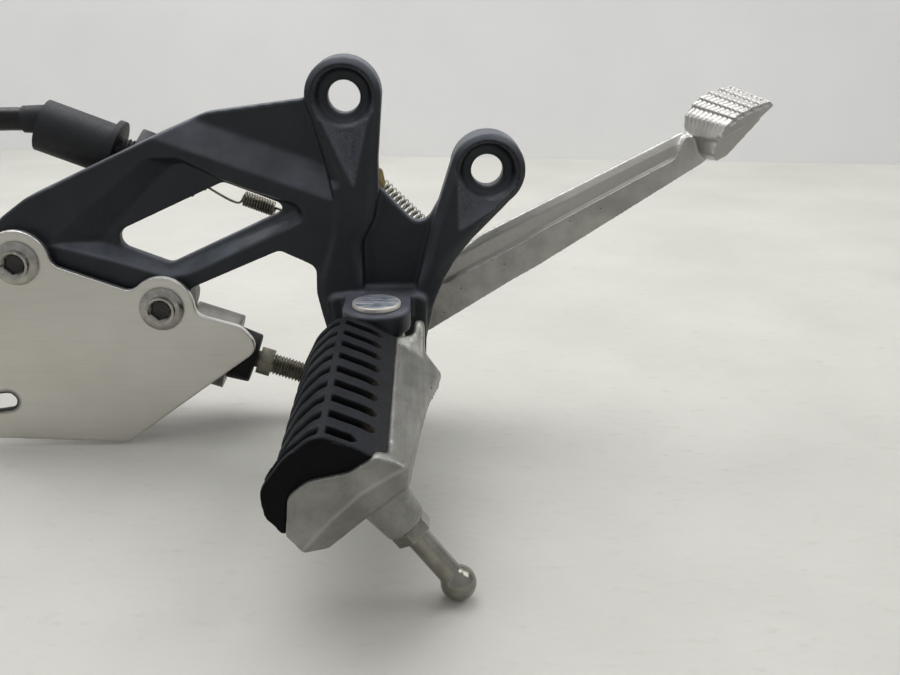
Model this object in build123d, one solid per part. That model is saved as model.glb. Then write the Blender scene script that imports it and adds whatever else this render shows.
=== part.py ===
from build123d import *
from math import atan2, cos, degrees, pi, radians, sin, sqrt, tan
import os

# Right-hand rear set: bracket, folding footpeg, brake pedal, master cylinder, heel guard and light switch.
# Millimetres. +X is forward, +Y is inboard, +Z is up as the part stands on a bench.
# The origin is midway between the two frame bolt holes, on the face that meets the motorcycle's frame.

# Clearances
RUNNING = 0.05          # radial, shaft in its bore
LOOSE = 0.4             # between pieces that move past each other
SEAT = 0.3              # between a soft or clipped piece and its seat

# Frame bolts
BOLT_SPACING = 54.2
BOLT_SLANT = -27.3      # degrees, line of the two holes
BOLT_HOLE_R = 5.5
SEAT_WEB = 7.0          # thickness under the bolt head
SEAT_R = 8.0
SEAT_RIM_R = 10.1
BOSS_R = 12.7
BOSS_RISE = 0.9         # boss rim stands above the hole's axis
BOSS_LENGTH = 15.0

# Bracket casting
ARM_SETBACK = 4.0       # inner face of the arm from the frame face
ARM_THICK = 10.0
BLOCK_PROUD = 3.0       # clevis block stands out from the arm
WEB_THICK = 4.5         # thinned panel beside the upper boss
POCKET_DEPTH = 3.5      # triangular pockets under the bosses
PANEL_DEPTH = 5.5       # sunk panel round the window, and the valley between the columns
SCREW_BOSS_R = 9.0
SCREW_BOSS_PROUD = 2.0

# Guard and master cylinder screws, M6 at the cylinder's standard spacing
SCREW_SPACING = 50.0
CYL_TILT = 19.5         # degrees nose down, screw line and cylinder axis
REAR_SCREW = (-135.4, -40.7)
SCREW_R = 3.0
SCREW_HOLE_R = 3.3
FLANGE_R = 7.6
FLANGE_THICK = 1.6
HEAD_R = 4.9
HEAD_HEIGHT = 3.4
SOCKET_AF = 6.0
SOCKET_DEPTH = 2.8
SOCKET_MOUTH_R = 4.1
GUARD_THICK = 2.5
GUARD_LOBE_R = 11.2
GUARD_WAIST_R = 4.5     # where the plate runs into a lobe
SLOT_R = 3.9
SLOT_LENGTH = 9.0

# Master cylinder, measured along its axis from the front screw
CYL_DROP = 18.4         # axis below the screw line
CYL_Y = 8.0             # axis inboard of the frame face
CYL_R = 12.0
CYL_BACK = -70.0
CYL_FRONT = 26.0
NOSE_R = 14.3
NOSE_LENGTH = 18.0
BORE_R = 7.0
BORE_BOTTOM = -50.0
LUG_HALF = 8.5
LUG_THICK = 9.0
PORT_R = 5.0
PORT_DEPTH = 12.0
CIRCLIP_WIRE = 1.2
BOOT_R = 10.0
BOOT_TIP_R = 9.3
BOOT_LENGTH = 8.6
INLET_AT = -38.0
INLET_R = 6.0
INLET_SOCKET = 6.0
SPIGOT_R = 4.0
SPIGOT_LENGTH = 20.0
SPIGOT_STOP = 7.0       # collar that the hose butts against

# Pushrod, M8 with a 10 mm adjusting hex
ROD_R = 3.8
ROD_NECK_R = 3.2
HEX_AF = 10.0
HEX_AT = 35.8
HEX_LENGTH = 5.2
LOCKNUT_AF = 13.0
LOCKNUT_THICK = 5.0
PISTON_LENGTH = 34.0
PISTON_FACE = 18.0
CLEVIS_CHEEK = 3.0
CLEVIS_LENGTH = 21.0
CLEVIS_HALF = 6.5
PIN_R = 3.0

# Brake pedal
PIVOT = (-9.5, -68.0)
PEDAL_TRAVEL = 10.0     # degrees
PEDAL_Y = 8.0           # middle of the lever
LEVER_THICK = 10.0
WEB_SETBACK = 2.2       # upper web behind the lower flange
WEB_BEVEL = 2.8         # width of the bevel along the web's top
WEB_BEVEL_DEPTH = 2.0
LEVER_TOP = ((23.0, -38.4), (94.5, -1.6))   # straight run of the lever's top edge
HUB_R = 13.0
HUB_LENGTH = 11.4
BUSH_R = 8.0
PIVOT_R = 6.0
ARM_WIDTH = 13.0
ARM_TONGUE = 6.0
PAD_OUT = 31.0          # toe pad reaches outboard of the lever
GUSSET_OUT = 27.0       # its gusset stops short of the pad's end

# Footpeg
PEG_PIN = (-13.9, -30.0)
PEG_PIN_R = 4.0
PIN_HEAD_R = 8.1
PIN_HEAD_THICK = 1.8
LUG_TOP = -53.5
LUG_HEIGHT = 7.5
LUG_R = 11.4
KNUCKLE_HEIGHT = 19.0
KNUCKLE_R = 9.5
PEG_END = -130.0
PEG_WALL = 5.0          # end wall of the peg casting
RUBBER_START = -43.8
RUBBER_LIP = 2.0        # end of the pad swells rearward
RUBBER_LIP_LENGTH = 7.0
PAD_SCREW_R = 1.9
FEELER_Y = PEG_END + 14.0
FEELER_TILT = 53.0      # degrees below level, toward the front
FEELER_BOSS_R = 6.0
FEELER_BOSS_ROOT_R = 7.5
FEELER_HEX_BACK = 23.1  # seat of the feeler's hex, from its ball
FEELER_HEX_LENGTH = 3.8
FEELER_HEX_AF = 10.0
FEELER_SHAFT_R = 3.4
FEELER_BALL_R = 5.0
BALL_CENTRE = (10.4, -104.1)

# Brake light switch
SWITCH_TILT = 21.2
SWITCH_Y = 7.5
SWITCH_POINT = (-62.0, -24.6)
BARREL_R = 5.9
SWITCH_NUT_AF = 19.5
SWITCH_NUT_THICK = 5.0
HOLDER_THICK = 5.0
HOLDER_AT = -30.0       # along the switch, from its reference point
BARREL_BACK = -46.0
BARREL_FRONT = -17.0
SWITCH_BOOT_R = 9.1
SWITCH_BOOT_LENGTH = 26.5
SWITCH_COLLAR_R = 11.0
SWITCH_COLLAR_THICK = 2.0
PLUNGER_R = 2.2
SWITCH_COIL_R = 2.3
SWITCH_WIRE = 0.9

# Return spring
RETURN_COIL_R = 3.4
RETURN_WIRE = 1.5
RETURN_TOP = (-17.5, -16.2)
RETURN_HOOK = (8.6, -41.6)
RETURN_Y = 3.4
RETURN_TOP_EYE = 5.0
RETURN_HOOK_EYE = 8.0
RETURN_TURNS = 12
ANCHOR_PIN = (-21.5, -13.2)
ANCHOR_PIN_R = 2.0
ANCHOR_THICK = 2.4

# Torsion spring on the peg's pin
TORSION_COIL_R = 5.6
TORSION_WIRE = 1.4
TORSION_TURNS = 3
TORSION_ROOM = 7.6

# Lead and its plug
LEAD_R = 4.0
LEAD_EXIT = (-135.2, 7.5, 3.6)
LEAD_ROUTE = [
    LEAD_EXIT,
    (-150.0, 8.2, 4.1),
    (-173.9, 11.0, -2.3),
    (-193.8, 19.0, -22.1),
    (-201.0, 30.0, -49.3),
    (-193.8, 42.0, -76.4),
    (-173.9, 51.0, -96.0),
    (-147.5, 56.0, -103.8),
    (-123.7, 57.0, -104.4),
]
PLUG_LENGTH = 22.0
PLUG_WIDTH = 12.0
PLUG_HEIGHT = 8.4

# Depths that follow from the sizes above
ARM_BACK = -ARM_SETBACK
ARM_FRONT = ARM_BACK - ARM_THICK
BLOCK_FRONT = ARM_FRONT - BLOCK_PROUD
SCREW_SEAT = ARM_FRONT - SCREW_BOSS_PROUD
GUARD_FRONT = SCREW_SEAT - GUARD_THICK
slant = radians(BOLT_SLANT)
BOLT_R = BOLT_SPACING / 2
UPPER_HOLE = (-BOLT_R * cos(slant), -BOLT_R * sin(slant))
LOWER_HOLE = (BOLT_R * cos(slant), BOLT_R * sin(slant))
tilt = radians(CYL_TILT)
AXIS = Vector(cos(tilt), 0, -sin(tilt))
UP = Vector(sin(tilt), 0, cos(tilt))
FRONT_SCREW = (REAR_SCREW[0] + SCREW_SPACING * AXIS.X, REAR_SCREW[1] + SCREW_SPACING * AXIS.Z)
swing = radians(SWITCH_TILT)
SWITCH_AXIS = Vector(cos(swing), 0, -sin(swing))
half_travel = radians(PEDAL_TRAVEL / 2)


def cyl_point(s, y=CYL_Y):
    """Point on the master cylinder's axis, s along it from the front screw."""
    x = FRONT_SCREW[0] + s * AXIS.X - CYL_DROP * UP.X
    z = FRONT_SCREW[1] + s * AXIS.Z - CYL_DROP * UP.Z
    return Vector(x, y, z)


def switch_point(s):
    """Point on the switch's axis, s along it from its reference point."""
    return Vector(SWITCH_POINT[0] + s * SWITCH_AXIS.X, SWITCH_Y, SWITCH_POINT[1] + s * SWITCH_AXIS.Z)


# The pushrod's pin and the switch spring's hook swing evenly about the square-on position of their arms
rod_foot = (Vector(PIVOT[0], CYL_Y, PIVOT[1]) - cyl_point(0)).dot(AXIS)
rod_arm = (Vector(PIVOT[0], CYL_Y, PIVOT[1]) - cyl_point(0)).dot(UP)
PIN_AT = rod_foot + rod_arm * tan(half_travel)
hook_foot = (Vector(PIVOT[0], SWITCH_Y, PIVOT[1]) - switch_point(0)).dot(SWITCH_AXIS)
hook_arm = -(Vector(PIVOT[0], SWITCH_Y, PIVOT[1]) - switch_point(0)).dot(Vector(sin(swing), 0, cos(swing)))
HOOK_AT = hook_foot - hook_arm * tan(half_travel)


def outline(points, radii):
    """Closed X-Z outline with a radius at each corner."""
    return make_face(FilletPolyline(*points, radius=radii, close=True))


def slab(face, y_out, y_in):
    """X-Z outline as a solid between two depths."""
    return extrude(Plane.XZ.offset(-y_in) * face, amount=y_in - y_out)


def disc(centre, radius):
    """X-Z circle."""
    return Pos(centre[0], centre[1]) * Circle(radius)


def bar(start, direction, radius, length):
    """Round bar from a point along a direction."""
    plane = Plane(origin=start, z_dir=direction)
    return plane * Cylinder(radius, length, align=(Align.CENTER, Align.CENTER, Align.MIN))


def hex_bar(start, direction, across_flats, length, turn=0.0):
    """Hexagonal bar from a point along a direction."""
    plane = Plane(origin=start, z_dir=direction) * Rot(0, 0, turn)
    return plane * extrude(RegularPolygon(across_flats / sqrt(3), 6), amount=length)


def cone(start, direction, r_start, r_end, length):
    """Tapered round piece from a point along a direction."""
    plane = Plane(origin=start, z_dir=direction)
    return plane * Cone(r_start, r_end, length, align=(Align.CENTER, Align.CENTER, Align.MIN))


def wire_path(points, radius, bend):
    """Round wire along straight runs with rounded corners."""
    path = FilletPolyline(*points, radius=bend)
    start = Plane(origin=path @ 0, z_dir=path % 0)
    return sweep(start * Circle(radius), path=path)


def coil(start, direction, side, mean_r, wire, pitch, turns):
    """Coil spring body: a round wire on a helix that starts on the given side."""
    path = Helix(pitch=pitch, height=pitch * turns, radius=mean_r)
    section = Plane(origin=path @ 0, z_dir=path % 0) * Circle(wire / 2)
    body = sweep(section, path=path, is_frenet=True)
    return Plane(origin=start, x_dir=side, z_dir=direction) * body


def prism_end(points, y):
    """Polygon in X-Z at a depth, for lofting."""
    return make_face(Polyline(*[(x, y, z) for x, z in points], close=True))


def frame_boss(hole):
    """Round boss of a frame bolt, from the frame face outboard."""
    return slab(disc((hole[0], hole[1] + BOSS_RISE), BOSS_R), -BOSS_LENGTH, 0)


def bolt_seat(hole):
    """What is cut from a boss: the bolt hole and the tapered seat for its head."""
    through = slab(disc(hole, BOLT_HOLE_R), -BOSS_LENGTH, 0)
    depth = BOSS_LENGTH - SEAT_WEB
    rim = (hole[0], hole[1] + BOSS_RISE / 2)
    floor = Vector(rim[0], -SEAT_WEB, rim[1])
    return through + cone(floor, (0, -1, 0), SEAT_R, SEAT_RIM_R, depth)


def footrest_bracket():
    """Black cast hanger."""
    silhouette = outline(
        [
            (-144, -38), (-141.5, -27), (-131.5, -19.8), (-86, 1), (-70, 7.9), (-26, 13.6), (-15, -12),
            (-13.4, -17), (1.6, -33.2), (6.4, -24), (14, -14), (28, -24), (14.5, -40), (6.6, -53),
            (2.8, -71), (2.4, -88), (-27, -88), (-33.2, -64), (-35.4, -54), (-35.2, -44.4),
            (-47.5, -38.4), (-79.5, -52), (-79.5, -66), (-93, -68), (-139, -51.5),
        ],
        [8, 6, 10, 30, 16, 0, 0, 2, 5, 0, 0, 0, 16, 20, 10, 3, 4, 10, 5, 3.5, 3.5, 3, 7, 7, 8],
    )
    window = outline(
        [(-66, -15.6), (-43.4, -24.5), (-86.3, -44.3), (-109.2, -35.2)],
        [3, 2, 3, 4],
    )
    arm = slab(silhouette, ARM_FRONT, ARM_BACK)

    # Sunk panel round the window, with sloping sides and a ramp at its rear end
    rim = [
        (-126.9, -35.3), (-104.1, -41.5), (-86.3, -47.3), (-78.6, -46.3), (-39.2, -28.3), (-38.7, -24.8),
        (-40.9, -22.1), (-57.7, -16.5), (-66.1, -13.1), (-79.7, -6.2), (-90.5, -6.1),
    ]
    floor = [
        (-110, -36), (-104.1, -38.6), (-86.3, -45.4), (-80, -43), (-41.4, -26), (-41.2, -24.9),
        (-42.5, -23.3), (-58.2, -17.8), (-66.1, -14.6), (-78.5, -8.6), (-83, -10),
    ]
    arm -= loft([prism_end(rim, ARM_FRONT - 0.2), prism_end(floor, ARM_FRONT + PANEL_DEPTH)], ruled=True)

    # Valley between the two columns
    valley = outline([(-20, -8), (12, -18), (7, -53.4), (-20, -53.4)], [0, 0, 0, 0])
    arm -= slab(valley, BLOCK_FRONT, ARM_FRONT + PANEL_DEPTH)

    # Panel beside the upper boss, thinned back along a slanting facet
    thinned = slab(
        outline([(-90, 0), (-74, 30), (-10, 30), (-10, -30)], [0, 0, 0, 0]),
        ARM_FRONT - BLOCK_PROUD,
        ARM_BACK - WEB_THICK,
    )
    facet_low = Vector(-86, ARM_FRONT, -0.4)
    facet_along = Vector(-39.3, ARM_FRONT, -17.3) - facet_low
    facet_rise = Vector(-38.8, ARM_BACK - WEB_THICK, -7.2) - facet_low
    facet = Plane(origin=facet_low, x_dir=facet_along, z_dir=facet_along.cross(facet_rise))
    above = Keep.TOP if facet.z_dir.Z > 0 else Keep.BOTTOM
    arm -= split(thinned, bisect_by=facet, keep=above)

    # Columns from each boss down to the peg's clevis
    upper = outline(
        [
            (-36.7, 13), (-31.5, -6), (-27.5, -22), (-28, -33), (-33.4, -50), (-33.4, -62), (-19, -62),
            (-19, -36), (-14.9, -28), (-13, -18), (-13, -8), (-11.4, 12),
        ],
        [0, 10, 8, 8, 3, 0, 0, 4, 6, 6, 10, 0],
    )
    lower = outline(
        [
            (11.5, -9), (6.8, -24), (4.9, -30), (-0.6, -52.6), (-2, -60), (4.6, -60), (10.4, -45.6),
            (19, -35), (31, -22.5), (36.6, -12),
        ],
        [0, 12, 12, 6, 0, 0, 12, 12, 8, 0],
    )
    columns = slab(upper, -BOSS_LENGTH, ARM_BACK) + slab(lower, -BOSS_LENGTH, ARM_BACK)
    body = arm + columns + frame_boss(UPPER_HOLE) + frame_boss(LOWER_HOLE)

    # Clevis block and its two lugs
    lug_low = LUG_TOP - 2 * LUG_HEIGHT - KNUCKLE_HEIGHT
    block = outline(
        [(-31.5, LUG_TOP - 0.5), (3, LUG_TOP - 0.5), (2.4, lug_low), (-26, lug_low)],
        [3, 3, 3, 3],
    )
    body += slab(block, BLOCK_FRONT, ARM_BACK)
    lug_plan = Pos(PEG_PIN[0], PEG_PIN[1]) * Circle(LUG_R)
    lug_plan += Pos(PEG_PIN[0], (PEG_PIN[1] + BLOCK_FRONT + 2) / 2) * Rectangle(
        2 * LUG_R, abs(PEG_PIN[1] - BLOCK_FRONT - 2)
    )
    pin_hole = Pos(PEG_PIN[0], PEG_PIN[1]) * Circle(PEG_PIN_R + RUNNING)
    lug_plan -= pin_hole
    for top in (LUG_TOP, LUG_TOP - LUG_HEIGHT - KNUCKLE_HEIGHT):
        body += Pos(0, 0, top - LUG_HEIGHT) * extrude(lug_plan, amount=LUG_HEIGHT)

    # Seats for the guard screws, and the pedal pivot's boss on the inner face
    for screw in (REAR_SCREW, FRONT_SCREW):
        body += slab(disc(screw, SCREW_BOSS_R), SCREW_SEAT, ARM_BACK)
    body += slab(disc(PIVOT, BUSH_R + 3), ARM_BACK, PEDAL_Y - HUB_LENGTH / 2 - SEAT)

    # Holder for the light switch: a tab on the inner face, square to the switch
    holder_plane = Plane(origin=switch_point(HOLDER_AT - HOLDER_THICK), x_dir=(0, 1, 0), z_dir=SWITCH_AXIS)
    holder = Pos((ARM_BACK - SWITCH_Y) / 2 + 4.5, 0) * Rectangle(SWITCH_Y - ARM_BACK + 11, 18)
    holder -= Circle(BARREL_R + RUNNING)
    body += holder_plane * extrude(holder, amount=HOLDER_THICK)

    # Cuts: window, pockets, bolt seats, screw holes and pivot thread
    body -= slab(window, BLOCK_FRONT - 5, ARM_BACK + 1)
    pocket_floor = POCKET_DEPTH - BOSS_LENGTH
    pocket_top = BLOCK_FRONT - 5
    under_upper = outline([(-32.4, 7), UPPER_HOLE, (-15.4, 7), (-21.2, -17.2)], [0, 0, 0, 1])
    under_lower = outline(
        [(13.4, -18.2), LOWER_HOLE, (30, -20.6), (26.5, -24.6), (13.9, -32)],
        [0, 0, 0, 3, 1],
    )
    body -= slab(under_upper, pocket_top, pocket_floor)
    body -= slab(under_lower, pocket_top, pocket_floor)
    for hole in (UPPER_HOLE, LOWER_HOLE):
        body -= bolt_seat(hole)
    for screw in (REAR_SCREW, FRONT_SCREW):
        body -= slab(disc(screw, SCREW_HOLE_R), SCREW_SEAT - 1, ARM_BACK + 1)
    body -= slab(disc(PIVOT, PIVOT_R - 2), ARM_FRONT + 2, PEDAL_Y)
    body -= slab(disc(ANCHOR_PIN, ANCHOR_PIN_R), ARM_BACK - 4, ARM_BACK)
    return body


def on_lobe(x, z):
    """Whether a corner of the guard lies on the circle round one of its screws."""
    gaps = [abs(sqrt((x - cx) ** 2 + (z - cz) ** 2) - GUARD_LOBE_R) for cx, cz in (REAR_SCREW, FRONT_SCREW)]
    return min(gaps) < 0.01


def heel_guard():
    """Flat plate with a lobe round each screw and one long slot."""
    rear_waist = (REAR_SCREW[0] + 7.65, REAR_SCREW[1] + 0.45)
    front_waist = (FRONT_SCREW[0] - 4.9821, FRONT_SCREW[1] + 4.2903)
    nose_waist = (FRONT_SCREW[0] + 7.4679, FRONT_SCREW[1] - 1.1597)
    plate = outline(
        [
            (-161, -50), REAR_SCREW, rear_waist, front_waist, nose_waist,
            (-61.4, -64.4), (-55.2, -72.4), (-104.6, -107.9), (-161, -105.3),
        ],
        [6, 0, 0, 0, 0, 6, 5, 5, 8],
    )
    for screw in (REAR_SCREW, FRONT_SCREW):
        plate += disc(screw, GUARD_LOBE_R)
    waists = [v for v in plate.vertices() if on_lobe(v.X, v.Y)]
    plate = fillet(waists, GUARD_WAIST_R)
    for screw in (REAR_SCREW, FRONT_SCREW):
        plate -= disc(screw, SCREW_HOLE_R)
    slot = Pos(-150, -91.9) * Rot(0, 0, 8) * SlotCenterToCenter(SLOT_LENGTH, 2 * SLOT_R)
    return slab(plate - slot, GUARD_FRONT, SCREW_SEAT)


def guard_screws():
    """Two flanged socket screws through guard and bracket into the cylinder's lugs."""
    screws = []
    reach = GUARD_THICK + SCREW_BOSS_PROUD + ARM_THICK + LUG_THICK
    for screw in (REAR_SCREW, FRONT_SCREW):
        seat = Vector(screw[0], GUARD_FRONT, screw[1])
        body = bar(seat, (0, 1, 0), SCREW_R, reach)
        body += bar(seat, (0, -1, 0), FLANGE_R, FLANGE_THICK / 2)
        brim = seat - Vector(0, FLANGE_THICK / 2, 0)
        body += cone(brim, (0, -1, 0), FLANGE_R, HEAD_R + 1, FLANGE_THICK / 2)
        body += bar(seat, (0, -1, 0), HEAD_R, HEAD_HEIGHT)
        face = seat - Vector(0, HEAD_HEIGHT, 0)
        body -= hex_bar(face, (0, 1, 0), SOCKET_AF, SOCKET_DEPTH, 12)
        body -= cone(face, (0, 1, 0), SOCKET_MOUTH_R, SOCKET_AF / 2, SOCKET_MOUTH_R - SOCKET_AF / 2)
        screws.append(body)
    return Compound(children=screws)


def master_cylinder_body():
    """Grey casting: barrel, two lugs on the bracket's inner face, nose, ports."""
    body = bar(cyl_point(CYL_BACK), AXIS, CYL_R, CYL_FRONT - CYL_BACK)
    body += bar(cyl_point(CYL_FRONT - NOSE_LENGTH), AXIS, NOSE_R, NOSE_LENGTH)
    for screw in (REAR_SCREW, FRONT_SCREW):
        ear = disc((0, 0), LUG_HALF) + Pos(0, -CYL_DROP / 2) * Rectangle(2 * LUG_HALF, CYL_DROP)
        place = Plane(origin=(screw[0], ARM_BACK, screw[1]), x_dir=AXIS, z_dir=(0, -1, 0))
        body += place * extrude(ear, amount=-LUG_THICK)
    body += bar(cyl_point(INLET_AT), (0, 1, 0), INLET_R + 3, CYL_R + INLET_SOCKET)
    body -= slab(disc(REAR_SCREW, SCREW_R + RUNNING), ARM_BACK - 1, ARM_BACK + LUG_THICK + 1)
    body -= slab(disc(FRONT_SCREW, SCREW_R + RUNNING), ARM_BACK - 1, ARM_BACK + LUG_THICK + 1)
    body -= bar(cyl_point(BORE_BOTTOM), AXIS, BORE_R, CYL_FRONT - BORE_BOTTOM)
    body -= bar(cyl_point(CYL_BACK), AXIS, PORT_R, PORT_DEPTH)
    body -= bar(cyl_point(CYL_BACK + PORT_DEPTH), AXIS, 1.5, BORE_BOTTOM - CYL_BACK - PORT_DEPTH)
    socket_floor = cyl_point(INLET_AT, CYL_Y + CYL_R)
    body -= bar(socket_floor, (0, 1, 0), INLET_R, INLET_SOCKET)
    body -= bar(cyl_point(INLET_AT), (0, 1, 0), 1.5, CYL_R)
    groove_r = BORE_R + CIRCLIP_WIRE
    body -= bar(cyl_point(CYL_FRONT - 5), AXIS, groove_r, CIRCLIP_WIRE)
    return body


def cylinder_circlip():
    """Ring in the groove at the bore's mouth that keeps the piston in."""
    ring = bar(cyl_point(CYL_FRONT - 5), AXIS, BORE_R + CIRCLIP_WIRE, CIRCLIP_WIRE)
    ring -= bar(cyl_point(CYL_FRONT - 5), AXIS, ROD_NECK_R + 1.8, CIRCLIP_WIRE)
    gap = Plane(origin=cyl_point(CYL_FRONT - 5), x_dir=(0, 1, 0), z_dir=AXIS)
    return ring - gap * Pos(BORE_R, 0, CIRCLIP_WIRE / 2) * Box(2 * BORE_R - 4, 4, CIRCLIP_WIRE)


def cylinder_boot():
    """Rubber boot from the nose to the pushrod's hex."""
    start = cyl_point(CYL_FRONT)
    boot = cone(start, AXIS, BOOT_R, BOOT_TIP_R, BOOT_LENGTH)
    wall = 1.6
    boot -= cone(start, AXIS, BOOT_R - wall, BOOT_TIP_R - wall, BOOT_LENGTH - wall)
    return boot - bar(start, AXIS, ROD_NECK_R + SEAT, BOOT_LENGTH)


def inlet_elbow():
    """Plastic elbow for the reservoir hose, plugged into the cylinder's inboard side."""
    floor = cyl_point(INLET_AT, CYL_Y + CYL_R)
    reach = INLET_SOCKET + 2 * SPIGOT_R + 6
    body = bar(floor, (0, 1, 0), INLET_R - RUNNING, INLET_SOCKET)
    body += bar(floor, (0, 1, 0), SPIGOT_R + 1, reach)
    knee = floor + Vector(0, reach - SPIGOT_R - 1, 0)
    body += Pos(knee) * Sphere(SPIGOT_R + 1)
    body += bar(knee, -AXIS, SPIGOT_R, SPIGOT_LENGTH)
    body += bar(knee, -AXIS, SPIGOT_R + 1.5, SPIGOT_STOP)
    body -= bar(knee, -AXIS, SPIGOT_R - 1.5, SPIGOT_LENGTH)
    body -= bar(floor, (0, 1, 0), SPIGOT_R - 1.5, reach - SPIGOT_R - 1)
    return body


def elbow_retainer():
    """Spring ring over the elbow's flange, on the inlet's rim."""
    rim = cyl_point(INLET_AT, CYL_Y + CYL_R + INLET_SOCKET)
    return bar(rim, (0, 1, 0), INLET_R + 2, 1.2) - bar(rim, (0, 1, 0), SPIGOT_R + 1 + RUNNING, 1.2)


def pushrod():
    """Steel rod: ball tip in the piston, neck, adjusting hex and M8 thread."""
    tip = PISTON_FACE
    rod = Pos(cyl_point(tip)) * Sphere(ROD_R + 0.6)
    rod += bar(cyl_point(tip), AXIS, ROD_NECK_R, HEX_AT - tip)
    rod += hex_bar(cyl_point(HEX_AT), AXIS, HEX_AF, HEX_LENGTH, 10)
    start = HEX_AT + HEX_LENGTH
    return rod + bar(cyl_point(start), AXIS, ROD_R, PIN_AT - PIN_R - 4 - start)


def cylinder_piston():
    """Aluminium piston with a socket for the rod's tip and two seal grooves."""
    back = PISTON_FACE - PISTON_LENGTH + 3
    body = bar(cyl_point(back), AXIS, BORE_R - RUNNING, PISTON_LENGTH)
    body -= Pos(cyl_point(PISTON_FACE)) * Sphere(ROD_R + 0.6 + RUNNING)
    body -= bar(cyl_point(PISTON_FACE), AXIS, ROD_NECK_R + 2.2, PISTON_LENGTH)
    for groove in cup_places():
        ring = bar(cyl_point(groove), AXIS, BORE_R, 3)
        body -= ring - bar(cyl_point(groove), AXIS, BORE_R - 2.2, 3)
    return body


def cup_places():
    """Where the piston's two seals start, along the axis."""
    back = PISTON_FACE - PISTON_LENGTH + 3
    return [back + 3, back + PISTON_LENGTH - 16]


def piston_cups():
    """Two rubber seals in the piston's grooves."""
    rings = []
    for groove in cup_places():
        ring = bar(cyl_point(groove), AXIS, BORE_R - RUNNING, 3)
        rings.append(ring - bar(cyl_point(groove), AXIS, BORE_R - 2.2, 3))
    return Compound(children=rings)


def piston_spring():
    """Coil that pushes the piston back."""
    back = PISTON_FACE - PISTON_LENGTH + 3
    wire = 1.2
    room = back - BORE_BOTTOM - wire - 2 * SEAT
    turns = 8
    start = cyl_point(BORE_BOTTOM + SEAT + wire / 2)
    return coil(start, AXIS, (0, 1, 0), BORE_R - 2, wire, room / turns, turns)


def pushrod_clevis():
    """Fork on the pushrod's end, either side of the pedal's arm."""
    inner = ARM_TONGUE / 2 + LOOSE
    outer = inner + CLEVIS_CHEEK
    root = PIN_AT - CLEVIS_LENGTH
    place = Plane(origin=cyl_point(root), x_dir=(0, 1, 0), z_dir=AXIS)
    block = place * Pos(0, 0, CLEVIS_LENGTH / 2) * Box(2 * outer, 2 * CLEVIS_HALF, CLEVIS_LENGTH)
    pin = cyl_point(PIN_AT)
    block += slab(disc((pin.X, pin.Z), CLEVIS_HALF), CYL_Y - outer, CYL_Y + outer)
    slot_room = CLEVIS_HALF + LOOSE + 6
    slot = place * Pos(0, 0, CLEVIS_LENGTH - ARM_WIDTH / 2 - 1.5 + 20) * Box(2 * inner, 2 * slot_room, 40)
    block -= slot
    block -= bar(cyl_point(root), AXIS, ROD_R, CLEVIS_LENGTH)
    return block - slab(disc((pin.X, pin.Z), PIN_R + RUNNING), CYL_Y - outer, CYL_Y + outer)


def clevis_locknut():
    """Nut that locks the clevis on the rod."""
    start = cyl_point(PIN_AT - CLEVIS_LENGTH - LOCKNUT_THICK)
    return hex_bar(start, AXIS, LOCKNUT_AF, LOCKNUT_THICK, 20) - bar(start, AXIS, ROD_R, LOCKNUT_THICK)


def clevis_pin():
    """Headed pin through fork and arm."""
    outer = ARM_TONGUE / 2 + LOOSE + CLEVIS_CHEEK
    pin = cyl_point(PIN_AT, CYL_Y - outer)
    body = bar(pin, (0, 1, 0), PIN_R, 2 * outer + 4)
    return body + bar(pin, (0, -1, 0), PIN_R + 2, 1.5)


def clevis_pin_clip():
    """Split clip on the clevis pin's inboard end."""
    outer = ARM_TONGUE / 2 + LOOSE + CLEVIS_CHEEK
    seat = cyl_point(PIN_AT, CYL_Y + outer + 0.2)
    ring = bar(seat, (0, 1, 0), PIN_R + 2, 1)
    ring -= bar(seat, (0, 1, 0), PIN_R, 1)
    return ring


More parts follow.
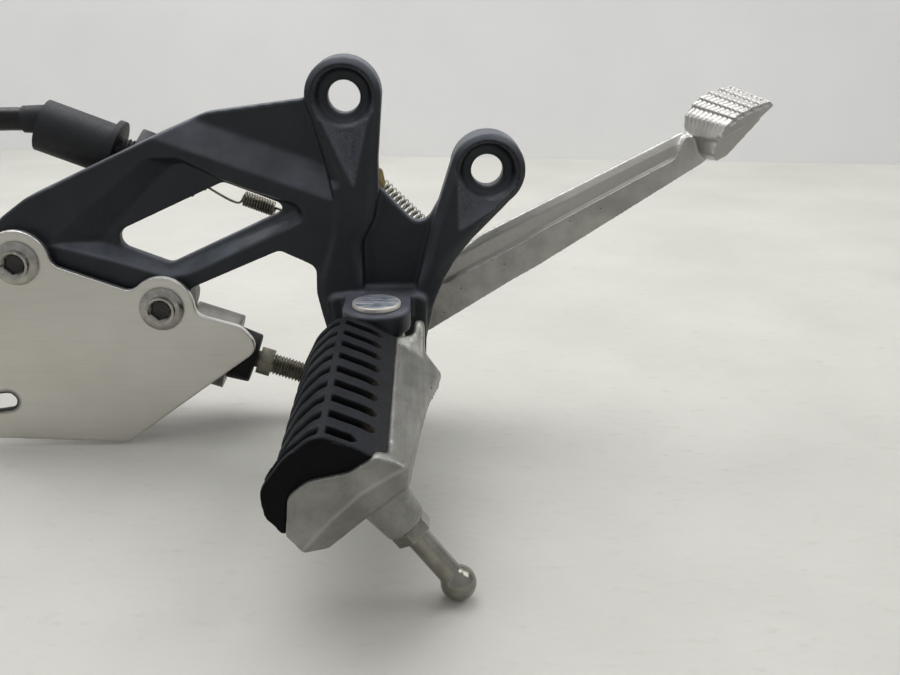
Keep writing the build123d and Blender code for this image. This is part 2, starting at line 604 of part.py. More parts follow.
def brake_pedal():
    """Forged lever: hub, long arm with a toe pad, short arm to the pushrod, spring ears."""
    back = PEDAL_Y + LEVER_THICK / 2
    front = PEDAL_Y - LEVER_THICK / 2
    hub_front = PEDAL_Y - HUB_LENGTH / 2
    lever = outline(
        [
            (-14, -57), (10, -50), (15, -44.5), LEVER_TOP[0], LEVER_TOP[1], (103, -8),
            (102, -11.6), (44, -49.2), (35, -54.4), (3, -74.6), (-14, -79),
        ],
        [0, 12, 8, 20, 2, 3, 4, 20, 20, 6, 0],
    )
    flange = outline(
        [
            (-14, -57), (9.2, -56), (23.7, -48.1), (36.3, -41.3), (44.6, -36.1), (77.2, -18.1), (90.8, -10.8),
            LEVER_TOP[1], (103, -8), (102, -11.6), (44, -49.2), (35, -54.4), (3, -74.6), (-14, -79),
        ],
        [0, 8, 20, 20, 20, 20, 3, 2, 3, 4, 20, 20, 6, 0],
    )
    body = slab(lever, front + WEB_SETBACK, back - WEB_SETBACK)
    run = Vector(LEVER_TOP[1][0] - LEVER_TOP[0][0], 0, LEVER_TOP[1][1] - LEVER_TOP[0][1]).normalized()
    rise = Vector(-run.Z, 0, run.X)
    for face, inward in ((front + WEB_SETBACK, 1), (back - WEB_SETBACK, -1)):
        low = Vector(LEVER_TOP[0][0], face, LEVER_TOP[0][1]) - rise * WEB_BEVEL
        slope = rise * WEB_BEVEL + Vector(0, inward * WEB_BEVEL_DEPTH, 0)
        bevel = Plane(origin=low, x_dir=run, z_dir=run.cross(slope))
        body = split(body, bisect_by=bevel, keep=Keep.BOTTOM if bevel.z_dir.Z > 0 else Keep.TOP)
    body += slab(flange, front, back)
    body += slab(disc(PIVOT, HUB_R), hub_front, hub_front + HUB_LENGTH)

    # Short arm down to the clevis pin
    pin = cyl_point(PIN_AT)
    arm_dir = degrees(atan2(pin.Z - PIVOT[1], pin.X - PIVOT[0]))
    reach = sqrt((pin.X - PIVOT[0]) ** 2 + (pin.Z - PIVOT[1]) ** 2)
    arm = Pos(PIVOT[0], PIVOT[1]) * Rot(0, 0, arm_dir) * Pos(reach / 2, 0) * Rectangle(reach, ARM_WIDTH - 1)
    arm += disc((pin.X, pin.Z), ARM_WIDTH / 2)
    body += slab(arm, CYL_Y - ARM_TONGUE / 2, CYL_Y + ARM_TONGUE / 2)

    # Ears for the switch spring and the return spring
    hook = switch_point(HOOK_AT)
    ear = outline([(-14, -60), (hook.X - 3, hook.Z + 1), (hook.X + 2, hook.Z + 3.2), (12, -54)], [0, 2, 2, 0])
    body += slab(ear, SWITCH_Y - 1.5, SWITCH_Y + 1.5)
    tab = outline(
        [(3, -57.5), (5.8, -43.5), (6.4, -39.6), (11.2, -39.2), (11.6, -44), (8.4, -54), (7.4, -57.5)],
        [0, 2, 1.5, 1.5, 2, 0, 0],
    )
    body += slab(tab, front, front + 3)

    # Toe pad: crowned plate that reaches outboard, skewed forward, on a gusset that rises towards its end
    pad_in = back - 2
    inner_end = [
        (94.9, 3.5), (97.8, 8.8), (101.8, 11.6), (109.8, 14.4), (111.6, 12.2), (106, 4.4), (96, -4.3),
    ]
    outer_end = [
        (100.9, 4.3), (104.3, 7.6), (109.2, 10.4), (114.6, 12.4), (116.4, 10.6), (112.2, 6.4), (99.8, -0.3),
    ]
    body += loft([prism_end(inner_end, pad_in), prism_end(outer_end, pad_in - PAD_OUT)], ruled=True)
    gusset_in = [
        (96.8, -4.2), (101, 1), (110, 10.5), (110.5, 6), (106.5, -8), (103.5, -12.2), (100, -9.6),
    ]
    gusset_out = [
        (99.9, -0.7), (104, 3.4), (113.3, 9.5), (113.6, 5.4), (103.6, -6.4), (100.4, -8), (98.8, -6),
    ]
    body += loft([prism_end(gusset_in, pad_in), prism_end(gusset_out, pad_in - GUSSET_OUT)], ruled=True)

    # Bores
    body -= slab(disc(PIVOT, BUSH_R), hub_front, hub_front + HUB_LENGTH)
    body -= slab(disc((pin.X, pin.Z), PIN_R + LOOSE), CYL_Y - ARM_TONGUE, CYL_Y + ARM_TONGUE)
    body -= slab(disc((hook.X, hook.Z), SWITCH_WIRE / 2 + LOOSE + 0.4), SWITCH_Y - 3, SWITCH_Y + 3)
    return body - slab(disc(RETURN_HOOK, RETURN_WIRE / 2 + LOOSE), front - 1, front + 4)


def pedal_bush():
    """Steel bush pressed in the hub."""
    start = Vector(PIVOT[0], PEDAL_Y - HUB_LENGTH / 2, PIVOT[1])
    return bar(start, (0, 1, 0), BUSH_R, HUB_LENGTH) - bar(start, (0, 1, 0), PIVOT_R + RUNNING, HUB_LENGTH)


def pedal_pivot_bolt():
    """Shoulder bolt from the inboard side into the bracket."""
    seat = PEDAL_Y - HUB_LENGTH / 2 - SEAT
    start = Vector(PIVOT[0], seat, PIVOT[1])
    shoulder = HUB_LENGTH + 2 * SEAT
    bolt = bar(start, (0, 1, 0), PIVOT_R, shoulder)
    bolt += bar(start, (0, -1, 0), PIVOT_R - 2, seat - ARM_FRONT - 3)
    head = start + Vector(0, shoulder, 0)
    bolt += bar(head, (0, 1, 0), HUB_R - 2, 2)
    bolt += hex_bar(head + Vector(0, 2, 0), (0, 1, 0), 14, 5, 15)
    return bolt


def spring_anchor():
    """Yellow zinc bracket pinned to the inner face, with a raised tab for the return spring's hook."""
    plate = outline(
        [(-25.5, -9.5), (-12, -12.4), (-10.8, -18.2), (-14.5, -20.2), (-25.5, -17)],
        [1.5, 1.5, 1.5, 1.5, 1.5],
    )
    tab = outline(
        [(-25.5, -10.5), (-19, -11.5), (-15.2, -14.6), (-17.6, -18.6), (-25.5, -16)],
        [1.5, 1.5, 1.2, 1.2, 1.5],
    )
    tab_front = RETURN_Y - 1.4
    body = slab(disc(ANCHOR_PIN, ANCHOR_PIN_R), ARM_BACK - 4, ARM_BACK)
    body += slab(plate, ARM_BACK, ARM_BACK + ANCHOR_THICK)
    body += slab(disc(ANCHOR_PIN, ANCHOR_PIN_R + 1), ARM_BACK, tab_front)
    body += slab(tab, tab_front, tab_front + 2)
    return body - slab(disc(RETURN_TOP, RETURN_WIRE / 2 + SEAT), tab_front, tab_front + 2)


def pedal_return_spring():
    """Open coil from the anchor to the lever, hooked through both."""
    top = Vector(RETURN_TOP[0], RETURN_Y, RETURN_TOP[1])
    end = Vector(RETURN_HOOK[0], RETURN_Y, RETURN_HOOK[1])
    along = (end - top).normalized()
    start = top + along * RETURN_TOP_EYE
    length = (end - top).length - RETURN_TOP_EYE - RETURN_HOOK_EYE
    pitch = length / RETURN_TURNS
    body = coil(start, along, (0, -1, 0), RETURN_COIL_R, RETURN_WIRE, pitch, RETURN_TURNS)
    out = Vector(0, -RETURN_COIL_R, 0)
    lap = along * (RETURN_WIRE / 4)
    wire = RETURN_WIRE / 2
    body += wire_path([start + out + lap, top + out, top - out], wire, wire * 2)
    body += wire_path([start + out + along * length - lap, end + out, end - out], wire, wire * 2)
    return body


def switch_body():
    """Threaded plastic barrel of the pull switch."""
    body = bar(switch_point(BARREL_BACK), SWITCH_AXIS, BARREL_R, BARREL_FRONT - BARREL_BACK)
    body -= bar(switch_point(-40), SWITCH_AXIS, PLUNGER_R + RUNNING, 23)
    return body


def switch_adjuster_nut():
    """Large hex nut that sets the switch in its holder."""
    start = switch_point(HOLDER_AT - HOLDER_THICK - SWITCH_NUT_THICK)
    nut = hex_bar(start, SWITCH_AXIS, SWITCH_NUT_AF, SWITCH_NUT_THICK, 0)
    return nut - bar(start, SWITCH_AXIS, BARREL_R, SWITCH_NUT_THICK)


def switch_boot():
    """Rubber boot over the switch's terminals, with a collar and a tail for the lead."""
    collar = switch_point(BARREL_BACK)
    body = bar(collar, -SWITCH_AXIS, SWITCH_BOOT_R, SWITCH_BOOT_LENGTH)
    body += bar(collar, -SWITCH_AXIS, SWITCH_COLLAR_R, SWITCH_COLLAR_THICK)
    tail = Vector(*LEAD_EXIT) + Vector(SWITCH_BOOT_R, 0, 0)
    return body + cone(tail, (-1, 0, 0), LEAD_R + 1, LEAD_R + 0.6, SWITCH_BOOT_R + 0.5) - switch_lead()


def switch_plunger():
    """Pull rod, flattened at its end, with an eye for the spring's hook."""
    rod = bar(switch_point(-38), SWITCH_AXIS, PLUNGER_R, 24.5)
    flat = Plane(origin=switch_point(-19), x_dir=(0, 1, 0), z_dir=SWITCH_AXIS)
    for side in (-1, 1):
        rod -= flat * Pos(side * (1 + PLUNGER_R / 2), 0, 5) * Box(PLUNGER_R, 2 * PLUNGER_R + 1, 10)
    eye = switch_point(-16)
    return rod - slab(disc((eye.X, eye.Z), SWITCH_WIRE / 2 + SEAT), SWITCH_Y - 4, SWITCH_Y + 4)


def switch_spring():
    """Close-wound spring with a long wire at each end, hooked into plunger and lever."""
    turns = 12
    pitch = SWITCH_WIRE * 1.06
    side = Vector(0, SWITCH_COIL_R, 0)
    body = coil(switch_point(0), SWITCH_AXIS, (0, 1, 0), SWITCH_COIL_R, SWITCH_WIRE, pitch, turns)
    wire = SWITCH_WIRE / 2
    lap = wire / 2
    first = switch_point(lap) + side
    last = switch_point(pitch * turns - lap) + side
    eye = switch_point(-16)
    hook = switch_point(HOOK_AT)
    body += wire_path([first, eye + side, eye - side], wire, wire * 2)
    body += wire_path([last, hook + side, hook - side], wire, wire * 2)
    return body


def lead_radii():
    """Bend radius at each inner point of the lead's route."""
    points = [Vector(*point) for point in LEAD_ROUTE]
    radii = []
    for before, here, after in zip(points, points[1:], points[2:]):
        turn = radians((here - before).get_angle(after - here))
        radii.append(0.45 * min((here - before).length, (after - here).length) / tan(turn / 2))
    return radii


def switch_lead():
    """Sheathed lead, out of the boot and round down to the bench."""
    path = FilletPolyline(*LEAD_ROUTE, radius=lead_radii())
    start = Plane(origin=path @ 0, z_dir=path % 0)
    return sweep(start * Circle(LEAD_R), path=path)


def lead_connector():
    """Two-way plug on the lead's end, with a latch on top."""
    end = Vector(*LEAD_ROUTE[-1])
    along = (end - Vector(*LEAD_ROUTE[-2])).normalized()
    place = Plane(origin=end, x_dir=(0, 1, 0), z_dir=along)
    body = place * Pos(0, 0, PLUG_LENGTH / 2) * Box(PLUG_WIDTH, PLUG_HEIGHT, PLUG_LENGTH)
    for side in (-1, 1):
        socket = Pos(side * PLUG_WIDTH / 4, 0, PLUG_LENGTH - 4) * Box(3.4, 4.6, 8)
        body -= place * socket
    latch = Pos(0, PLUG_HEIGHT / 2 + 0.7, PLUG_LENGTH / 2) * Box(5, 1.4, 12)
    return body + place * latch


def peg_section():
    """X-Z section of the peg casting, without the pad."""
    return outline(
        [
            (-7.3, -59.4), (8.5, -68.5), (8.5, -72), (-1.5, -68), (-23, -86.2), (-29.2, -85.8),
            (-33.4, -80.4), (-31, -74.5), (-9, -64),
        ],
        [1, 1.5, 2, 6, 2.5, 2, 1, 1, 0.5],
    )


def rubber_section(bulge):
    """X-Z section of the rubber pad above the casting's bed, its rear flank out by a bulge."""
    return outline(
        [
            (-7.3, -59.2), (-15.5, -53.6), (-25, -51.4), (-32.3 - bulge / 2, -58.4), (-37.6 - bulge, -69),
            (-36.6 - bulge, -76), (-34.2, -81), (-30, -80), (-12, -68), (-7.3, -60.5),
        ],
        [0.5, 14, 8, 12, 7, 6, 0.8, 0, 0, 0],
    )


def footpeg_body():
    """Cast peg: bed under the pad, end wall, front flank, knuckle on the pin, feeler boss."""
    body = slab(peg_section(), PEG_END, RUBBER_START)
    # Front flank narrows towards the tip from a pointed shoulder
    plan = make_face(
        Polyline(
            (-60, -36), (1.8, -36), (2.4, -42), (7.4, -53), (5.2, -65), (3.2, -75), (1.4, -90), (-1.4, -118),
            (-3, PEG_END - 5), (-60, PEG_END - 5), close=True,
        )
    )
    body &= Pos(0, 0, -110) * extrude(plan, amount=80)
    # End wall that the pad butts against
    wall = outline(
        [
            (-10, -58.6), (-17, -63.4), (-27.5, -65.6), (-32.4, -69.8), (-33.4, -80.6), (-28.5, -86.5),
            (-13, -68.4), (-1.2, -64.4),
        ],
        [1, 8, 8, 4, 1, 1, 8, 3],
    )
    body += slab(wall, PEG_END, PEG_END + PEG_WALL)
    # Knuckle and the web that joins it to the bed
    top = LUG_TOP - LUG_HEIGHT - SEAT
    height = KNUCKLE_HEIGHT - SEAT - TORSION_ROOM
    knuckle = Pos(PEG_PIN[0], PEG_PIN[1]) * Circle(KNUCKLE_R)
    neck = Pos(PEG_PIN[0], (PEG_PIN[1] + RUBBER_START - 6) / 2) * Rectangle(
        2 * KNUCKLE_R - 1, abs(PEG_PIN[1] - RUBBER_START + 6)
    )
    body += Pos(0, 0, top - height) * extrude(knuckle + neck, amount=height)
    # Flank runs up into a rounded ear beside the lug
    ear = outline(
        [(-56, -74), (-56, -68), (-48, -62), (-42, -56.4), (-36, -54.4), (-36, -74)],
        [0, 0, 6, 5, 2.5, 0],
    )
    body += extrude(Plane.YZ.offset(-1.5) * ear, amount=3.6)
    shoulder = outline(
        [(-54, -74), (-54, -64), (-47, -60), (-42, -58.2), (-42, -74)],
        [0, 0, 5, 1.5, 0],
    )
    body += extrude(Plane.YZ.offset(-7.2) * shoulder, amount=5.8)
    # Boss for the feeler bolt
    boss_length = 38 - FEELER_HEX_BACK
    body += cone(feeler_point(38), feeler_dir(), FEELER_BOSS_ROOT_R, FEELER_BOSS_R, boss_length)
    body -= bar(feeler_point(FEELER_HEX_BACK), -feeler_dir(), FEELER_SHAFT_R - 0.4, 9)
    # Screw holes for the pad, and the pin's bore
    for y in rubber_screw_places():
        body -= bar(screw_seat(y) + bed_normal() * 5.5, -bed_normal(), 2.1, 20)
        body -= bar(screw_seat(y) + bed_normal() * 5.5, bed_normal(), 4.6, 20)
    body -= Pos(PEG_PIN[0], PEG_PIN[1], top - height) * Cylinder(
        PEG_PIN_R + RUNNING, height, align=(Align.CENTER, Align.CENTER, Align.MIN)
    )
    return body


def feeler_dir():
    """Direction of the feeler bolt, away from the peg."""
    lean = radians(FEELER_TILT)
    return Vector(cos(lean), 0, -sin(lean))


def feeler_point(back):
    """Point on the feeler's axis, so far back from its ball."""
    ball = Vector(BALL_CENTRE[0], FEELER_Y, BALL_CENTRE[1])
    return ball - feeler_dir() * back


def bed_normal():
    """Direction out of the peg's underside."""
    lean = radians(49)
    return Vector(cos(lean), 0, -sin(lean))


def rubber_screw_places():
    """Depths of the two pad screws."""
    return [-62.0, -100.0]


def screw_seat(y):
    """Where a pad screw enters the bed."""
    return Vector(-20.5, y, -70.5)


def peg_rubber():
    """Rubber pad bedded on the casting."""
    body = slab(rubber_section(0), PEG_END + 1.5, RUBBER_START)
    body += slab(rubber_section(RUBBER_LIP), PEG_END + 1.5, PEG_END + 1.5 + RUBBER_LIP_LENGTH)
    body -= footpeg_body()
    for y in rubber_screw_places():
        body -= bar(screw_seat(y) + bed_normal() * 5.5, -bed_normal(), PAD_SCREW_R + RUNNING, 13)
    return max(body.solids(), key=lambda solid: solid.volume)


def rubber_screws():
    """Two screws from under the peg into the pad."""
    screws = []
    for y in rubber_screw_places():
        head = screw_seat(y) + bed_normal() * 5.5
        body = bar(head, -bed_normal(), PAD_SCREW_R, 13)
        body += bar(head, bed_normal(), 4, 2.2)
        screws.append(body)
    return Compound(children=screws)


def feeler_bolt():
    """Bank feeler: M6 stud, hex, shaft and ball."""
    out = feeler_dir()
    bolt = Pos(feeler_point(0)) * Sphere(FEELER_BALL_R)
    bolt += bar(feeler_point(FEELER_HEX_BACK), out, FEELER_SHAFT_R, FEELER_HEX_BACK)
    bolt += hex_bar(feeler_point(FEELER_HEX_BACK), out, FEELER_HEX_AF, FEELER_HEX_LENGTH, 30)
    bolt += bar(feeler_point(FEELER_HEX_BACK + 8.6), out, FEELER_SHAFT_R - 0.4, 9)
    return bolt


def peg_pivot_pin():
    """Headed pin through both lugs and the knuckle."""
    length = 2 * LUG_HEIGHT + KNUCKLE_HEIGHT + 5
    centre = Pos(PEG_PIN[0], PEG_PIN[1], LUG_TOP)
    pin = centre * Cylinder(PEG_PIN_R, length, align=(Align.CENTER, Align.CENTER, Align.MAX))
    head = Cylinder(PIN_HEAD_R, PIN_HEAD_THICK, align=(Align.CENTER, Align.CENTER, Align.MIN))
    head = fillet(head.edges().filter_by(GeomType.CIRCLE), 0.5)
    pin += centre * head
    groove = LUG_TOP - length + 2
    place = Pos(PEG_PIN[0], PEG_PIN[1], groove)
    cut = place * Cylinder(PEG_PIN_R, 1, align=(Align.CENTER, Align.CENTER, Align.MIN))
    cut -= place * Cylinder(PEG_PIN_R - 0.8, 1, align=(Align.CENTER, Align.CENTER, Align.MIN))
    return pin - cut


def under_lug():
    """Height of the lower lug's underside."""
    return LUG_TOP - 2 * LUG_HEIGHT - KNUCKLE_HEIGHT


def peg_pin_washer():
    """Washer on the pin under the lower lug."""
    top = Pos(PEG_PIN[0], PEG_PIN[1], under_lug())
    washer = top * Cylinder(7.5, 1.4, align=(Align.CENTER, Align.CENTER, Align.MAX))
    return washer - top * Cylinder(PEG_PIN_R + RUNNING, 1.4, align=(Align.CENTER, Align.CENTER, Align.MAX))


def peg_pin_clip():
    """E-clip in the pin's groove."""
    groove = LUG_TOP - (2 * LUG_HEIGHT + KNUCKLE_HEIGHT + 5) + 2
    place = Pos(PEG_PIN[0], PEG_PIN[1], groove)
    ring = place * Cylinder(6.5, 1, align=(Align.CENTER, Align.CENTER, Align.MIN))
    ring -= place * Cylinder(PEG_PIN_R - 0.8, 1, align=(Align.CENTER, Align.CENTER, Align.MIN))
    return ring - place * Pos(0, -5, 0) * Box(5.6, 10, 2, align=(Align.CENTER, Align.CENTER, Align.MIN))


def peg_torsion_spring():
    """Coil round the pin that holds the peg out, one leg on the clevis block."""
    pitch = TORSION_WIRE * 1.15
    rise = pitch / (2 * pi * TORSION_COIL_R)
    low = LUG_TOP - LUG_HEIGHT - KNUCKLE_HEIGHT + TORSION_WIRE / 2 + 2 * SEAT
    start = Vector(PEG_PIN[0], PEG_PIN[1], low)
    body = coil(start, (0, 0, 1), (-1, 0, 0), TORSION_COIL_R, TORSION_WIRE, pitch, TORSION_TURNS)
    foot = start - Vector(TORSION_COIL_R, 0, 0)
    end = foot + Vector(0, 0, pitch * TORSION_TURNS)
    wire = TORSION_WIRE / 2
    body += bar(foot, (0, 1, -rise), wire, BLOCK_FRONT - SEAT - foot.Y)
    return body + bar(end, (0, -1, rise), wire, 7)


PIECES = {
    "footrest_bracket": footrest_bracket,
    "heel_guard": heel_guard,
    "guard_screws": guard_screws,
    "master_cylinder_body": master_cylinder_body,
    "cylinder_circlip": cylinder_circlip,
    "cylinder_boot": cylinder_boot,
    "inlet_elbow": inlet_elbow,
    "elbow_retainer": elbow_retainer,
    "pushrod": pushrod,
    "cylinder_piston": cylinder_piston,
    "piston_cups": piston_cups,
    "piston_spring": piston_spring,
    "pushrod_clevis": pushrod_clevis,
    "clevis_locknut": clevis_locknut,
    "clevis_pin": clevis_pin,
    "clevis_pin_clip": clevis_pin_clip,
    "brake_pedal": brake_pedal,
    "pedal_bush": pedal_bush,
    "pedal_pivot_bolt": pedal_pivot_bolt,
    "spring_anchor": spring_anchor,
    "pedal_return_spring": pedal_return_spring,
    "switch_body": switch_body,
    "switch_adjuster_nut": switch_adjuster_nut,
    "switch_boot": switch_boot,
    "switch_plunger": switch_plunger,
    "switch_spring": switch_spring,
    "footpeg_body": footpeg_body,
    "peg_rubber": peg_rubber,
    "rubber_screws": rubber_screws,
    "feeler_bolt": feeler_bolt,
    "peg_pivot_pin": peg_pivot_pin,
    "peg_pin_washer": peg_pin_washer,
    "peg_pin_clip": peg_pin_clip,
    "peg_torsion_spring": peg_torsion_spring,
    "switch_lead": switch_lead,
    "lead_connector": lead_connector,
}

os.makedirs("parts", exist_ok=True)
for name, make in PIECES.items():
    piece = make()
    export_step(piece, os.path.join("parts", name + ".step"))
    print(name, len(piece.solids()), round(piece.volume))
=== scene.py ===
import math
import bpy
from mathutils import Matrix, Vector


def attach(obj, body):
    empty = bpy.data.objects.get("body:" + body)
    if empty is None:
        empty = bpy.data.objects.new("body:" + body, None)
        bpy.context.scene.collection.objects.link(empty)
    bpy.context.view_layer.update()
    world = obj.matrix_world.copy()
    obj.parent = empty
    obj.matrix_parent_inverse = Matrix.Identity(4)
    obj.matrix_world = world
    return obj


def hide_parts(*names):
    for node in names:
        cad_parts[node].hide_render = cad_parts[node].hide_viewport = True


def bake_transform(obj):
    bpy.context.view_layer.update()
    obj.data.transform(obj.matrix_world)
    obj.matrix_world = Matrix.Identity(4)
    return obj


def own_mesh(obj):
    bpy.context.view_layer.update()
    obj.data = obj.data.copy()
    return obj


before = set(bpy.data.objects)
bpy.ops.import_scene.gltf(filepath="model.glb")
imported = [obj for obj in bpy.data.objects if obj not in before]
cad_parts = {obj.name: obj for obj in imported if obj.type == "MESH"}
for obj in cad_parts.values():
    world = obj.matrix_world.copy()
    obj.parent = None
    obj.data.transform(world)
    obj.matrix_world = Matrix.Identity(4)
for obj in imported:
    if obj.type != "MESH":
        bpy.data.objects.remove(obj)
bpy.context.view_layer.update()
scene = bpy.context.scene
scene.view_settings.view_transform = "Standard"

# Camera: held a little above the part and looking down on it from the outer side.
# 40 mm on a 36 mm wide sensor gives the photograph's frame of 900 by 675.
camera_data = bpy.data.cameras.new("camera")
camera_data.lens = 40.0
camera_data.sensor_width = 36.0
camera_data.clip_start = 0.01
camera = bpy.data.objects.new("camera", camera_data)
scene.collection.objects.link(camera)
camera.location = (0.0012, -0.3479, 0.0516)
camera.rotation_euler = (math.radians(90.0 - 20.1), 0.0, math.radians(-1.7))
scene.camera = camera


# Bench and wall: a white worktop with a pale wall half a metre behind it, under wide soft lamps.
# Both are only a stage for the part.
def linear(code):
    """Colour code as the linear values that a shader takes."""
    values = [int(code[i:i + 2], 16) / 255.0 for i in (1, 3, 5)]
    return tuple(v / 12.92 if v <= 0.04045 else ((v + 0.055) / 1.055) ** 2.4 for v in values) + (1.0,)


def set_or_link(tree, socket, value):
    """Gives a socket a fixed value, or the output of another node."""
    if isinstance(value, (float, tuple)):
        socket.default_value = value
    else:
        tree.links.new(value, socket)


def noise(tree, place, scale, detail=3.0, stretch=None):
    """Cloudy value from 0 to 1; stretch draws it out along an axis."""
    if stretch:
        mapping = tree.nodes.new("ShaderNodeMapping")
        mapping.inputs["Scale"].default_value = stretch
        tree.links.new(place, mapping.inputs["Vector"])
        place = mapping.outputs["Vector"]
    node = tree.nodes.new("ShaderNodeTexNoise")
    node.inputs["Detail"].default_value = detail
    set_or_link(tree, node.inputs["Scale"], scale)
    tree.links.new(place, node.inputs["Vector"])
    return node.outputs["Fac"]


def spread(tree, value, low, high, to_low=0.0, to_high=1.0):
    """Maps a value between two levels onto another span, held at its ends."""
    node = tree.nodes.new("ShaderNodeMapRange")
    for label, level in (("From Min", low), ("From Max", high), ("To Min", to_low), ("To Max", to_high)):
        set_or_link(tree, node.inputs[label], level)
    tree.links.new(value, node.inputs["Value"])
    return node.outputs["Result"]


def blend_colour(tree, mask, under, over):
    """Colour that goes from under to over as the mask goes from 0 to 1."""
    node = tree.nodes.new("ShaderNodeMix")
    node.data_type = "RGBA"
    tree.links.new(mask, node.inputs[0])
    set_or_link(tree, node.inputs[6], under)
    set_or_link(tree, node.inputs[7], over)
    return node.outputs[2]


def axis_value(tree, vector, axis):
    """One of a vector's X, Y or Z values."""
    node = tree.nodes.new("ShaderNodeSeparateXYZ")
    tree.links.new(vector, node.inputs["Vector"])
    return node.outputs[axis]


def new_finish(name, metallic=0.0, rough=0.5):
    """Empty material with its shader and the surface position that its patterns read."""
    finish = bpy.data.materials.new(name)
    finish.use_nodes = True
    tree = finish.node_tree
    shader = tree.nodes["Principled BSDF"]
    shader.inputs["Metallic"].default_value = metallic
    shader.inputs["Roughness"].default_value = rough
    place = tree.nodes.new("ShaderNodeTexCoord").outputs["Object"]
    return finish, tree, shader, place


def relief(tree, shader, height, strength, depth):
    """Small relief on the surface from a height value."""
    node = tree.nodes.new("ShaderNodeBump")
    node.inputs["Strength"].default_value = strength
    node.inputs["Distance"].default_value = depth
    tree.links.new(height, node.inputs["Height"])
    tree.links.new(node.outputs["Normal"], shader.inputs["Normal"])


def new_group(name, takes, gives):
    """Shader node group with named inputs and outputs."""
    group = bpy.data.node_groups.new(name, "ShaderNodeTree")
    for label, kind in takes:
        group.interface.new_socket(name=label, in_out="INPUT", socket_type="NodeSocket" + kind)
    for label, kind in gives:
        group.interface.new_socket(name=label, in_out="OUTPUT", socket_type="NodeSocket" + kind)
    entry = group.nodes.new("NodeGroupInput").outputs
    leave = group.nodes.new("NodeGroupOutput").inputs
    return group, entry, leave


def use_group(tree, group, **values):
    """Places a node group in a material with its own values."""
    node = tree.nodes.new("ShaderNodeGroup")
    node.node_tree = group
    for label, value in values.items():
        set_or_link(tree, node.inputs[label], value)
    return node.outputs


# Cloudy change between two shades, as all worn or cast surfaces have
mottle, entry, leave = new_group(
    "mottle",
    [("Place", "Vector"), ("Scale", "Float"), ("Dark", "Color"), ("Light", "Color")],
    [("Colour", "Color")],
)
cloud = spread(mottle, noise(mottle, entry["Place"], entry["Scale"], 5.0), 0.34, 0.68)
mottle.links.new(blend_colour(mottle, cloud, entry["Dark"], entry["Light"]), leave["Colour"])

BENCH = -0.1091
bpy.ops.object.select_all(action="DESELECT")
bpy.ops.mesh.primitive_plane_add(size=6.0, location=(0, 0, BENCH))
bench = bpy.context.object
bench.name = "bench"
bench_white, tree, shader, place = new_finish("bench_white", rough=0.6)
shade = use_group(tree, mottle, Place=place, Scale=14.0, Dark=linear("#cbcac3"), Light=linear("#d4d3cc"))
creases = noise(tree, place, 260.0, 4.0, (0.45, 1.0, 1.0))
crease_mask = spread(tree, creases, 0.6, 0.72, 0.0, 0.35)
creased = blend_colour(tree, crease_mask, shade["Colour"], linear("#bdbbb2"))
tree.links.new(creased, shader.inputs["Base Color"])
relief(tree, shader, creases, 0.5, 0.0008)
bench.data.materials.append(bench_white)
WALL_TURN = math.radians(-7.0)
bpy.ops.mesh.primitive_plane_add(
    size=6.0, location=(0, 0.577, BENCH + 2.9), rotation=(math.radians(90), 0, WALL_TURN)
)
wall = bpy.context.object
wall.name = "wall"
wall_white, tree, shader, place = new_finish("wall_white", rough=0.7)
shade = use_group(tree, mottle, Place=place, Scale=6.0, Dark=linear("#ebebec"), Light=linear("#f2f2f2"))
tree.links.new(shade["Colour"], shader.inputs["Base Color"])
wall.data.materials.append(wall_white)

world = bpy.data.worlds.new("room")
scene.world = world
world.use_nodes = True
room = world.node_tree
sky = room.nodes["Background"]
sky.inputs["Strength"].default_value = 0.5
heading = room.nodes.new("ShaderNodeTexCoord").outputs["Generated"]
glow = room.nodes.new("ShaderNodeValToRGB")
glow.color_ramp.elements[0].color = (0.95, 0.95, 0.98, 1)
glow.color_ramp.elements[1].position = 0.55
glow.color_ramp.elements[1].color = (1.0, 1.0, 1.0, 1)
room.links.new(axis_value(room, heading, "Z"), glow.inputs["Fac"])
room.links.new(glow.outputs["Color"], sky.inputs["Color"])


def soft_lamp(name, place, aim, size, watts):
    """Wide square lamp that points at a spot."""
    data = bpy.data.lights.new(name, "AREA")
    data.size = size
    data.energy = watts
    lamp = bpy.data.objects.new(name, data)
    scene.collection.objects.link(lamp)
    lamp.location = place
    lamp.rotation_euler = (Vector(aim) - Vector(place)).to_track_quat("-Z", "Y").to_euler()


soft_lamp("ceiling_lamp", (-0.2, 0.34, 0.72), (0, 0, -0.05), 0.8, 6.2)
soft_lamp("side_lamp", (0.9, 0.1, 0.9), (0, 0, -0.05), 0.7, 3.5)


# Switch lead: two cores in a glossy black sheath, out of the switch's boot and round down to the bench.
# It ends in a two-way plug, put away behind the guard.
LEAD_ROUTE = [
    (-0.1352, 0.0075, 0.0036), (-0.1500, 0.0082, 0.0041), (-0.1739, 0.0110, -0.0023),
    (-0.1938, 0.0190, -0.0221), (-0.2010, 0.0300, -0.0493), (-0.1938, 0.0420, -0.0764),
    (-0.1739, 0.0510, -0.0960), (-0.1475, 0.0560, -0.1038), (-0.1237, 0.0570, -0.1044),
]
LEAD_DIAMETER = 0.008
lead_curve = bpy.data.curves.new("lead_sheath", "CURVE")
lead_curve.dimensions = "3D"
lead_curve.bevel_depth = LEAD_DIAMETER / 2
lead_curve.bevel_resolution = 6
lead_curve.resolution_u = 16
lead_curve.use_fill_caps = True
run = lead_curve.splines.new("NURBS")
run.points.add(len(LEAD_ROUTE) - 1)
for point, at in zip(run.points, LEAD_ROUTE):
    point.co = at + (1.0,)
run.order_u = 3
run.use_endpoint_u = True
lead = bpy.data.objects.new("lead_sheath", lead_curve)
scene.collection.objects.link(lead)

